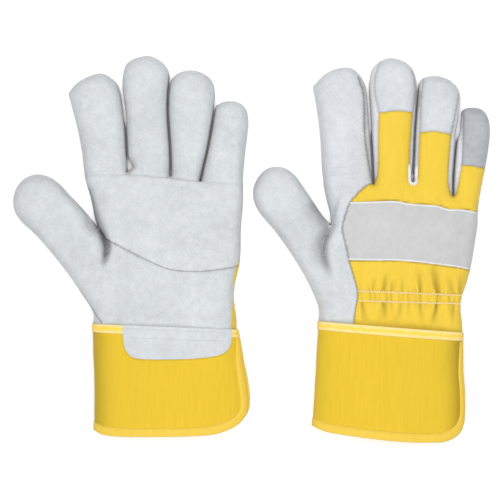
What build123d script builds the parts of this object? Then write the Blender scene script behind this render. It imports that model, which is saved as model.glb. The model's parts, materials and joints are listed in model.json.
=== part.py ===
from build123d import *

import os
from dataclasses import dataclass
from math import cos, hypot, radians, sin

# A pair of leather-palmed work gloves with fabric backs and stiff safety cuffs, lying side by side on a flat
# surface: the left glove shows its palm, the right glove its back. +Z is up and the fingers point along +Y.
# Each glove is hollow: the hand goes in through the cuff, and each digit is a tube that folds at its mouth.
# Heights are measured from the palm's outer face towards the back, so that both gloves share them.

# ---- driving dimensions, in millimetres ------------------------------------------------------------------

HAND_THICKNESS = 24.0  # the hand and digits, outside, palm to back
CUFF_HEM_THICKNESS = 30.0  # the cuff flares towards its hem
REST_GAP = 1.3  # patches, pipings and bindings stand this proud of the hand, so the hand lies this high
LEATHER = 1.4
LINING = 1.0
EDGE_RADIUS = 6.0  # round edge of the hand and digits
CUFF_EDGE_RADIUS = 9.0  # round edge of the cuff at its hem
HAND_SEAM_HEIGHT = 17.0  # the palm leather wraps this far up the sides of the hand
DIGIT_SEAM_HEIGHT = 12.0
FOLD_GAP = 0.5  # room between a digit's mouth and the hand
RUN_OUT = 12.0  # how far blanks run past an open end before they are cut off there
STRIP_SHARE = 0.31  # half the width of a finger's fabric back strip, over the width of its mouth
ELASTIC_WIDTH = 8.0
ELASTIC_THICKNESS = 1.0
PIPING_WIDTH = 2.0
STRAP_SLOPE = 0.12  # how fast the strap's edges fall towards the little-finger side
TAPE_WIDTH = 6.0
TAPE_PROUD = 0.9
CUFF_WALL = 1.4
BINDING_WIDTH = 7.0
BINDING_INSIDE = 0.9  # thickness of the binding's inner layer
SLIT_WIDTH = 2.4
SLIT_STOP = 10.0  # the slit ends this far below the cuff's top
SLIT_BINDING = 5.0  # width of the binding along each edge of the slit
TONGUE_LENGTH = 21.0
TONGUE_CORNER = 9.0
TALL = 80.0  # taller than any piece, for cutting prisms


@dataclass
class Digit:
    """One digit in plan: the two ends of its mouth, the centre and width of its round tip."""

    name: str
    mouth_left: tuple
    mouth_right: tuple
    tip: tuple
    tip_width: float
    cap_start: float = 0.0  # where the leather fingertip begins, from the mouth; 0 where the back is one piece


def finger(name, base, lean, length, base_width, tip_width, cap_start=0.0):
    """A digit whose mouth is square to its length; lean turns it from +Y towards +X, in degrees."""
    across = (cos(radians(lean)), -sin(radians(lean)))
    along = (sin(radians(lean)), cos(radians(lean)))
    half = base_width / 2
    reach = length - tip_width / 2
    left = (base[0] - across[0] * half, base[1] - across[1] * half)
    right = (base[0] + across[0] * half, base[1] + across[1] * half)
    tip = (base[0] + along[0] * reach, base[1] + along[1] * reach)
    return Digit(name, left, right, tip, tip_width, cap_start)


@dataclass
class Glove:
    """One glove in plan. Every point is (x, y), and the thumb is on the -X side of both gloves."""

    side: str
    palm_up: bool
    fingers: list
    thumb: Digit
    wrist_left: tuple
    wrist_right: tuple
    little_side: list  # the edge of the hand from the little finger down to the wrist
    hem_left: tuple
    hem_right: tuple
    leather_edge: list  # where leather meets the fabric back, from the index finger down to the wrist
    strap_top: tuple  # the strap's upper edge, at its middle
    strap_bottom: tuple
    palm_seam: list  # lower edge of the palm patch, from the thumb to the little-finger side
    tongue: tuple  # left and right x of the pulse tongue


LEFT = Glove(
    side="left",
    palm_up=True,
    fingers=[
        finger("index", (-104.0, 52.2), -5.7, 73.0, 30.2, 34.6),
        finger("middle", (-72.9, 51.8), -1.0, 86.2, 28.6, 31.6, 52.0),
        finger("ring", (-46.8, 49.7), 3.2, 77.6, 20.4, 30.0, 37.0),
        finger("little", (-21.5, 46.8), 7.4, 58.8, 27.0, 24.0, 26.0),
    ],
    thumb=Digit("thumb", (-112.8, -47.5), (-104.0, 4.3), (-152.04, 36.0), 35.4),
    wrist_left=(-113.3, -55.1),
    wrist_right=(-11.1, -58.6),
    little_side=[(-6.1, 24.0), (-8.2, -9.3), (-13.2, -36.0)],
    hem_left=(-113.3, -131.0),
    hem_right=(-2.0, -131.0),
    leather_edge=[(-99.0, 36.0), (-98.0, 12.0), (-95.0, -9.0), (-88.0, -30.0)],
    strap_top=(-54.0, 37.0),
    strap_bottom=(-54.0, -7.5),
    palm_seam=[(-86.9, -1.4), (-72.6, -9.3), (-58.3, -13.9), (-36.8, -15.7)],
    tongue=(-91.5, -15.0),
)

RIGHT = Glove(
    side="right",
    palm_up=False,
    fingers=[
        finger("index", (69.0, 50.0), -4.1, 79.4, 34.0, 36.0),
        finger("middle", (100.7, 46.4), 0.5, 90.2, 26.4, 32.0, 52.0),
        finger("ring", (128.7, 42.2), 3.8, 81.6, 26.4, 29.4, 41.5),
        finger("little", (152.9, 37.6), 6.4, 63.4, 18.8, 22.0, 22.0),
    ],
    thumb=Digit("thumb", (48.4, -44.5), (57.6, 15.7), (18.5, 41.0), 35.4),
    wrist_left=(47.5, -53.6),
    wrist_right=(150.5, -62.2),
    little_side=[(160.9, 20.0), (157.0, -6.0), (150.6, -33.0)],
    hem_left=(42.5, -127.0),
    hem_right=(151.8, -136.6),
    leather_edge=[(69.7, 32.9), (64.4, 16.4), (69.0, -7.2), (75.4, -30.0)],
    strap_top=(109.8, 32.0),
    strap_bottom=(109.8, -8.4),
    palm_seam=[(74.0, 4.0), (88.0, -6.0), (104.0, -13.0), (128.0, -18.0)],
    tongue=(69.0, 146.0),
)


# ---- planes, heights and cuts ----------------------------------------------------------------------------


def height_to_z(glove, height):
    """Z of a height measured from the palm's outer face towards the back."""
    return REST_GAP + (HAND_THICKNESS - height if glove.palm_up else height)


def seam_plane(glove, height):
    """Level plane at a height, whose normal points towards the back."""
    toward_back = -1 if glove.palm_up else 1
    return Plane(origin=(0, 0, height_to_z(glove, height)), x_dir=(1, 0, 0), z_dir=(0, 0, toward_back))


def mouth_plane(digit, z=0.0):
    """Level plane centred on the digit's mouth: local X runs across it and local Y out along the digit."""
    left, right = Vector(*digit.mouth_left), Vector(*digit.mouth_right)
    middle = (left + right) / 2
    return Plane(origin=(middle.X, middle.Y, z), x_dir=right - left, z_dir=(0, 0, 1))


def on_line(start, end, share):
    return tuple(a + (b - a) * share for a, b in zip(start, end))


def cut(solid, plane, keep):
    """The part of a solid on one side of a plane."""
    with BuildPart() as kept:
        add(solid)
        split(bisect_by=plane, keep=keep)
    return kept.part


def minus(solid, *tools):
    """A solid with other solids cut out of it."""
    with BuildPart() as rest:
        add(solid)
        add(tools, mode=Mode.SUBTRACT)
    return rest.part


def common(solid, tool):
    """The part of a solid that lies inside another."""
    with BuildPart() as shared:
        add(solid)
        add(tool, mode=Mode.INTERSECT)
    return shared.part


def together(*solids):
    with BuildPart() as whole:
        add(solids)
    return whole.part


def outlined_block(corners, z, thickness):
    """An upright block over a polygon in plan."""
    with BuildPart() as block:
        with BuildSketch(Plane.XY.offset(z)):
            with BuildLine():
                Polyline(*corners, close=True)
            make_face()
        extrude(amount=thickness)
    return block.part


def within(solid, corners):
    """The part of a solid above a polygon in plan."""
    return common(solid, outlined_block(corners, -TALL / 4, TALL))


def layer(glove, corners, low, high):
    """A flat layer over a polygon in plan, between two heights."""
    bottom = min(height_to_z(glove, low), height_to_z(glove, high))
    return outlined_block(corners, bottom, high - low)


# ---- the digits ------------------------------------------------------------------------------------------


def digit_blank(digit, inset):
    """The digit's rounded block, every wall moved in by inset, run out past its mouth."""
    plane = mouth_plane(digit, REST_GAP + inset)
    left, right, tip = [plane.to_local_coords(Vector(*p)) for p in (digit.mouth_left, digit.mouth_right, digit.tip)]
    reach = hypot(tip.X, tip.Y)
    back = Vector(tip.X, tip.Y) * (RUN_OUT / reach)
    margin = inset * reach / tip.Y
    with BuildPart() as blank:
        with BuildSketch(plane):
            with BuildLine():
                Line((left.X + margin - back.X, -back.Y), (right.X - margin - back.X, -back.Y))
                CenterArc((tip.X, tip.Y), digit.tip_width / 2 - inset, 0, 360)
            make_hull()
        extrude(amount=HAND_THICKNESS - 2 * inset)
        rims = blank.faces().filter_by(Axis.Z).edges()
        fillet(rims, EDGE_RADIUS - inset)
    return blank.part


def digit_shell(digit):
    shell = minus(digit_blank(digit, 0.0), digit_blank(digit, LEATHER))
    mouth = mouth_plane(digit)
    return cut(shell, Plane(origin=mouth.origin, z_dir=mouth.y_dir), Keep.TOP)


def digit_pieces(glove, digit):
    """The leather palm side, and for the back either one leather piece or a strip, a fingertip and two sides."""
    shell = digit_shell(digit)
    seam = seam_plane(glove, DIGIT_SEAM_HEIGHT)
    back = cut(shell, seam, Keep.TOP)
    pieces = {"palm": cut(shell, seam, Keep.BOTTOM)}
    if not digit.cap_start:
        pieces["back"] = back
        return pieces
    mouth = mouth_plane(digit)
    cap_plane = Plane(origin=mouth.origin + mouth.y_dir * digit.cap_start, z_dir=mouth.y_dir)
    pieces["tip"] = cut(back, cap_plane, Keep.TOP)
    lower = cut(back, cap_plane, Keep.BOTTOM)
    width = (Vector(*digit.mouth_right) - Vector(*digit.mouth_left)).length
    left_plane = Plane(origin=mouth.origin - mouth.x_dir * width * STRIP_SHARE, z_dir=mouth.x_dir)
    right_plane = Plane(origin=mouth.origin + mouth.x_dir * width * STRIP_SHARE, z_dir=mouth.x_dir)
    inner = cut(lower, left_plane, Keep.TOP)
    pieces["back_strip"] = cut(inner, right_plane, Keep.BOTTOM)
    pieces["sides"] = together(cut(lower, left_plane, Keep.BOTTOM), cut(inner, right_plane, Keep.TOP))
    return pieces


# ---- the hand --------------------------------------------------------------------------------------------


def finger_line(glove, rise):
    """The hand's edge along the mouths of the fingers, moved up by rise."""
    corners = [corner for digit in glove.fingers for corner in (digit.mouth_left, digit.mouth_right)]
    return [(x, y + rise) for x, y in corners]


def hand_outline(glove):
    """The hand's plan, from the wrist round the thumb's mouth and the fingers' mouths."""
    low, crotch = glove.thumb.mouth_left, glove.thumb.mouth_right
    return [
        glove.wrist_right,
        glove.wrist_left,
        (low[0] + FOLD_GAP, low[1]),
        (crotch[0] + FOLD_GAP, crotch[1]),
        *finger_line(glove, -FOLD_GAP),
        *[(x + RUN_OUT, y) for x, y in glove.little_side],
    ]


def hand_blank(glove, inset):
    """The hand's rounded block, every wall moved in by inset, run out past its open ends."""
    low, crotch = glove.thumb.mouth_left, glove.thumb.mouth_right
    first, last = glove.fingers[0].mouth_left, glove.fingers[-1].mouth_right
    low_side = (glove.wrist_left[0] - RUN_OUT * 2, low[1])
    wrist_left = (glove.wrist_left[0], glove.wrist_left[1] - RUN_OUT)
    wrist_right = (glove.wrist_right[0], glove.wrist_right[1] - RUN_OUT)
    with BuildPart() as blank:
        with BuildSketch(Plane.XY.offset(REST_GAP + inset)):
            with BuildLine():
                Polyline(wrist_right, wrist_left, low, low_side, (low_side[0], crotch[1]), crotch,
                         (first[0], first[1] + RUN_OUT), (last[0], last[1] + RUN_OUT), *glove.little_side,
                         close=True)
            make_face()
            if inset:
                offset(amount=-inset, kind=Kind.INTERSECTION, mode=Mode.REPLACE)
        extrude(amount=HAND_THICKNESS - 2 * inset)
        rims = blank.faces().filter_by(Axis.Z).edges()
        fillet(rims, EDGE_RADIUS - inset)
    return blank.part


def hand_shell(glove):
    shell = minus(hand_blank(glove, 0.0), hand_blank(glove, LEATHER))
    return within(shell, hand_outline(glove))


def strap_edge(glove, edge):
    """An edge of the strap, from the leather's edge to past the little-finger side."""
    start = glove.leather_edge[0 if edge is glove.strap_top else 2]
    end_x = glove.wrist_right[0] + 3 * RUN_OUT
    return [start, edge, (end_x, edge[1] - STRAP_SLOPE * (end_x - edge[0]))]


def back_regions(glove):
    """Polygons in plan that share out the back of the hand."""
    edge = glove.leather_edge
    crotch = glove.thumb.mouth_right
    gap = on_line(glove.fingers[0].mouth_right, glove.fingers[1].mouth_left, 0.5)
    top, bottom = strap_edge(glove, glove.strap_top), strap_edge(glove, glove.strap_bottom)
    left, right = glove.wrist_left[0] - 3 * RUN_OUT, top[-1][0]
    above, below = gap[1] + 3 * RUN_OUT, glove.wrist_right[1] - 3 * RUN_OUT
    wrist_end = (edge[-1][0], below)
    return {
        "index_wing": [(gap[0], above), gap, *edge[:2], crotch, (left, crotch[1]), (left, above)],
        "thumb_side": [(left, crotch[1]), crotch, *edge[1:], wrist_end, (left, below)],
        "upper_back": [(gap[0], above), gap, *top, (right, above)],
        "knuckle_strap": [edge[1], *top, *reversed(bottom)],
        "wrist_back": [wrist_end, edge[-1], *bottom, (right, below)],
    }


def strap_piping(glove):
    """The narrow raised pipings along both edges of the knuckle strap."""
    end_x = glove.little_side[1][0] - EDGE_RADIUS - 2.0
    half = PIPING_WIDTH / 2
    pipings = []
    for edge in (glove.strap_top, glove.strap_bottom):
        start, middle, far = strap_edge(glove, edge)
        end = (end_x, far[1] + STRAP_SLOPE * (far[0] - end_x))
        path = [start, middle, end]
        corners = [(x, y + half) for x, y in path] + [(x, y - half) for x, y in reversed(path)]
        pipings.append(layer(glove, corners, HAND_THICKNESS, HAND_THICKNESS + REST_GAP))
    return together(*pipings)


def palm_patch(glove):
    """The second layer of leather across the palm, from the finger mouths to the curved seam."""
    margin = EDGE_RADIUS + 1.0
    top = finger_line(glove, -2.0)
    first = (top[0][0] + margin, top[0][1])
    last = (top[-1][0] - margin, top[-1][1])
    crotch = glove.thumb.mouth_right
    seam_start = (crotch[0] + margin, glove.palm_seam[0][1] + 5.0)
    seam_end = (glove.little_side[1][0] - margin, glove.palm_seam[-1][1] + 1.5)
    side = (glove.little_side[0][0] - margin, glove.little_side[0][1])
    corners = [seam_start, first, *top[1:-1], last, side, seam_end, *reversed(glove.palm_seam)]
    return layer(glove, corners, -REST_GAP, 0.0)


def palm_lining(glove):
    """The fleece layer inside the palm."""
    margin = EDGE_RADIUS + 1.0
    crotch = glove.thumb.mouth_right
    mouths = [on_line(digit.mouth_left, digit.mouth_right, 0.5) for digit in glove.fingers]
    corners = [
        (glove.wrist_left[0] + margin, glove.wrist_left[1] + 4.0),
        (crotch[0] + margin, crotch[1]),
        *[(x, y - 4.0) for x, y in mouths],
        *[(x - margin, y) for x, y in glove.little_side],
        (glove.wrist_right[0] - margin, glove.wrist_right[1] + 4.0),
    ]
    return layer(glove, corners, LEATHER, LEATHER + LINING)


def wrist_elastic(glove):
    """The flat elastic sewn inside the back of the wrist, which gathers the fabric."""
    left = (glove.leather_edge[-1][0] + 1.0, glove.leather_edge[-1][1] - 2.0)
    right = (glove.little_side[2][0] - EDGE_RADIUS - 2.0, left[1] - 4.0)
    half = ELASTIC_WIDTH / 2
    corners = [(left[0], left[1] - half), (left[0], left[1] + half), (right[0], right[1] + half)]
    corners.append((right[0], right[1] - half))
    inner_face = HAND_THICKNESS - LEATHER
    return layer(glove, corners, inner_face - ELASTIC_THICKNESS, inner_face)


# ---- the cuff --------------------------------------------------------------------------------------------


def section_plane(left, right, thickness):
    """Upright plane across the cuff, centred on its section, facing the hem; and the section's width."""
    along = Vector(right[0] - left[0], right[1] - left[1])
    middle = on_line(left, right, 0.5)
    origin = (*middle, REST_GAP + thickness / 2)
    return Plane(origin=origin, x_dir=along, z_dir=(along.Y, -along.X, 0)), along.length


def cuff_body(glove, grow, past_hem=0.0):
    """The cuff as a closed flared block, its walls moved out by grow, run out past its hem."""
    top, top_width = section_plane(glove.wrist_left, glove.wrist_right, HAND_THICKNESS)
    hem, hem_width = section_plane(glove.hem_left, glove.hem_right, CUFF_HEM_THICKNESS)
    with BuildPart() as body:
        with BuildSketch(top):
            RectangleRounded(top_width + 2 * grow, HAND_THICKNESS + 2 * grow, EDGE_RADIUS + grow)
        for depth in [0.0, past_hem] if past_hem else [0.0]:
            with BuildSketch(hem.offset(depth)):
                RectangleRounded(hem_width + 2 * grow, CUFF_HEM_THICKNESS + 2 * grow, CUFF_EDGE_RADIUS + grow)
        loft(ruled=True)
    return body.part


def cuff_wall(glove):
    return minus(cuff_body(glove, 0.0), cuff_body(glove, -CUFF_WALL))


def cuff_slit(glove, width):
    """A level prism that opens the cuff's little-finger side, from below its top to past the hem."""
    top, hem = glove.wrist_right, glove.hem_right
    low = hem[1] - RUN_OUT
    corners = [(top[0] - RUN_OUT, top[1] - SLIT_STOP), (hem[0] - RUN_OUT, low)]
    corners += [(hem[0] + RUN_OUT, low), (top[0] + RUN_OUT, top[1] - SLIT_STOP)]
    return outlined_block(corners, REST_GAP + HAND_THICKNESS / 2 - width / 2, width)


def cuff(glove):
    return minus(cuff_wall(glove), cuff_slit(glove, SLIT_WIDTH))


def cuff_binding(glove):
    """Tape folded over the hem and along both edges of the slit."""
    hem, _ = section_plane(glove.hem_left, glove.hem_right, CUFF_HEM_THICKNESS)
    inside = cuff_body(glove, -CUFF_WALL - BINDING_INSIDE, REST_GAP)
    jacket = minus(cuff_body(glove, REST_GAP, REST_GAP), inside, cuff_wall(glove))
    hem_band = cut(jacket, hem.offset(-BINDING_WIDTH), Keep.TOP)
    slit_band = common(jacket, cuff_slit(glove, SLIT_WIDTH + 2 * SLIT_BINDING))
    return minus(together(hem_band, slit_band), cuff_slit(glove, SLIT_WIDTH))


def wrist_height(glove, x):
    """Y of the line where the cuff meets the hand, at a given x."""
    share = (x - glove.wrist_left[0]) / (glove.wrist_right[0] - glove.wrist_left[0])
    return on_line(glove.wrist_left, glove.wrist_right, share)[1]


def tongue_block(glove, grow=0.0):
    """Upright block over the tongue's plan, its edges moved out by grow."""
    left, right = glove.tongue[0] - grow, glove.tongue[1] + grow
    length = TONGUE_LENGTH + grow
    top_left, top_right = wrist_height(glove, left), wrist_height(glove, right)
    corners = [(left, top_left + RUN_OUT), (left, top_left - length)]
    corners += [(right, top_right - length), (right, top_right + RUN_OUT)]
    with BuildPart() as block:
        with BuildSketch(Plane.XY.offset(-TALL / 4)) as outline:
            with BuildLine():
                Polyline(*corners, close=True)
            make_face()
            fillet(outline.vertices().sort_by(Axis.Y)[:2], TONGUE_CORNER + grow)
        extrude(amount=TALL)
    return block.part


def palm_half(glove, solid):
    return cut(solid, seam_plane(glove, HAND_THICKNESS / 2), Keep.BOTTOM)


def pulse_tongue(glove):
    """The leather tongue that runs from the palm over the cuff, where the pulse is."""
    skin = minus(cuff_body(glove, REST_GAP), cuff_body(glove, 0.0))
    return palm_half(glove, common(skin, tongue_block(glove)))


def cuff_tape(glove):
    """The tape over the seam between hand and cuff, which stops at the tongue."""
    top, _ = section_plane(glove.wrist_left, glove.wrist_right, HAND_THICKNESS)
    ring = minus(cuff_body(glove, TAPE_PROUD), cuff_body(glove, 0.0))
    return minus(cut(ring, top.offset(TAPE_WIDTH), Keep.BOTTOM), palm_half(glove, tongue_block(glove, FOLD_GAP)))


# ---- assembly --------------------------------------------------------------------------------------------


def hand_pieces(glove):
    shell = hand_shell(glove)
    seam = seam_plane(glove, HAND_SEAM_HEIGHT)
    back = cut(shell, seam, Keep.TOP)
    pieces = {"palm_leather": cut(shell, seam, Keep.BOTTOM)}
    for name, corners in back_regions(glove).items():
        pieces[name] = within(back, corners)
    pieces["strap_piping"] = strap_piping(glove)
    pieces["palm_patch"] = palm_patch(glove)
    pieces["palm_lining"] = palm_lining(glove)
    pieces["wrist_elastic"] = wrist_elastic(glove)
    pieces["pulse_tongue"] = pulse_tongue(glove)
    pieces["cuff"] = cuff(glove)
    pieces["cuff_binding"] = cuff_binding(glove)
    pieces["cuff_tape"] = cuff_tape(glove)
    return pieces


def glove_pieces(glove):
    """Every piece of one glove, by node name."""
    pieces = hand_pieces(glove)
    for digit in [*glove.fingers, glove.thumb]:
        for role, piece in digit_pieces(glove, digit).items():
            pieces[f"{digit.name}_{role}"] = piece
    return {f"{glove.side}_{name}": piece for name, piece in pieces.items()}


os.makedirs("parts", exist_ok=True)
for glove in (LEFT, RIGHT):
    for name, piece in glove_pieces(glove).items():
        piece.label = name
        export_step(piece, f"parts/{name}.step")
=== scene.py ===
import json
from dataclasses import dataclass, field
from math import cos, exp, pi, radians, sin

import bmesh
import bpy
import numpy as np
from mathutils import Matrix, Vector, noise
from mathutils.bvhtree import BVHTree
from mathutils.geometry import delaunay_2d_cdt

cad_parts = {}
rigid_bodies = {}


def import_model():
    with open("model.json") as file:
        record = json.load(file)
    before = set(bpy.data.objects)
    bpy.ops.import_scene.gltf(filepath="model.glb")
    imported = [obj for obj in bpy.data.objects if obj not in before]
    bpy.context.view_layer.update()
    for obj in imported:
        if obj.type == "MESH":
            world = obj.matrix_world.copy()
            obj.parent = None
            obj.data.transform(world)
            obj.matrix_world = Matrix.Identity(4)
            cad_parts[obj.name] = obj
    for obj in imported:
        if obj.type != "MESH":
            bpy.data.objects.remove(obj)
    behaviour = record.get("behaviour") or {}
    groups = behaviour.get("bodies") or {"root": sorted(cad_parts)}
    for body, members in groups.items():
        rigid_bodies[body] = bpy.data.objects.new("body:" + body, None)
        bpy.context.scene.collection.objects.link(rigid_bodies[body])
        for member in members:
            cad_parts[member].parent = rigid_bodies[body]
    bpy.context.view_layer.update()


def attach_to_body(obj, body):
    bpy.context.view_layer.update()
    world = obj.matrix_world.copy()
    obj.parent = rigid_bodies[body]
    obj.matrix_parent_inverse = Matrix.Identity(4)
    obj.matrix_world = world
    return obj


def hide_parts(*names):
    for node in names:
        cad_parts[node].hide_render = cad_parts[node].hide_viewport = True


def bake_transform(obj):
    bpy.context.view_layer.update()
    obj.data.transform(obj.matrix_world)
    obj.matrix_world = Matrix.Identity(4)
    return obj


# A pair of leather-palmed work gloves lying flat: the left glove shows its palm, the right glove its back.
# Each glove's hand is one soft shell, cut along its seams into separate panels of leather and cloth. Shapes
# are worked out in millimetres and written in metres.

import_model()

MM = 0.001

REST_HEIGHT = 1.3  # the hand lies this high, on its bindings and patches
EDGE_HEIGHT = 9.0  # height of the widest line round the hand and digits
DIGIT_RISE = 12.0  # from the edge up to the middle of a digit
HAND_RISE = 6.5  # how much more the middle of the hand stands up
EDGE_ROUND = 6.5  # how far in from the edge the shell takes to level off
HAND_ROUND = 28.0  # the same for the broad rise over the hand
STEP = 1.5  # spacing of the shell's points
WRIST_STEP = 0.95  # closer, where the cloth is gathered
LEATHER = 1.4  # thicknesses
CLOTH = 0.9
CUFF_WALL = 1.4
CUFF_TOP_THICKNESS = 25.5  # the flat tube of the cuff, outside, at the wrist
CUFF_HEM_THICKNESS = 28.5  # and at the hem
CUFF_SIDE_SHADE = {"left": 0.34, "right": 0.55}  # how dark the painted shade is along the canvas's outer side
DEEPEST = 1.07  # the painted shade between two fingers; a seam's painted shade is about half of it
CUFF_BASE = 2.7  # the cuff stands this high, on its binding and tongue
CORNER_POWER = 2.5  # how square the hem's corners are: 2 is an ellipse
BINDING_WIDTH = 6.0
TAPE_WIDTH = 6.0
PAINTED_SHADE_SHARE = 0.93  # how much of the painted shade value darkens the colour
SIDE_SHADE_WIDTH = 9  # how far in from the cuff's sides the painted shade reaches
FAR = 400  # past every side of the gloves in plan


# ---- shapes in plan --------------------------------------------------------------------------------------


@dataclass
class Glove:
    """One glove in plan, in millimetres, with its thumb towards -X."""

    side: str
    palm_up: bool
    runs: list  # the outline, as smooth runs that meet at corners, from the wrist round to the wrist
    knuckles: list  # the line of the finger mouths, from crotch to crotch
    gaps: list  # a line up each gap between two fingers
    closed: list  # for each gap, from where to where the two fingers touch, in Y
    leans: list  # each finger's direction, in degrees from +Y towards +X
    thumb_line: list  # where the thumb joins the hand
    thumb_out: tuple  # the thumb's direction
    leather_edge: list  # on the back: where leather meets cloth, from the first crotch to the wrist
    strap_top: list
    strap_bottom: list
    strips: dict  # finger: (left edge, right edge) of its cloth strip and, past it, of its leather tip
    caps: dict  # finger: the seam between strip and tip
    index_seam: list  # on the back: along the index finger's inner side
    patch_top: list
    patch_bottom: list
    cuff_left: list
    cuff_right: list
    hem: list
    tongue: list  # outline of the pulse tongue
    corner: tuple  # the hem's rounded corners: how far along the hem, how far up the slit
    slit: float  # how far the slit's upper edge is drawn back, halfway down
    creases: list  # (line down from the crotch, depth, width on the thumb's side, width on the hand's side)
    shades: list  # painted shade on the leather: (line, darkness, width to the right of its way, to the left)
    tucks: list  # folds that run out from the elastic: (x, up or down, length, size)
    wedges: list = field(default_factory=list)  # edges of the back's cloth that show beside the palm
    palm_seam: list = None


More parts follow.
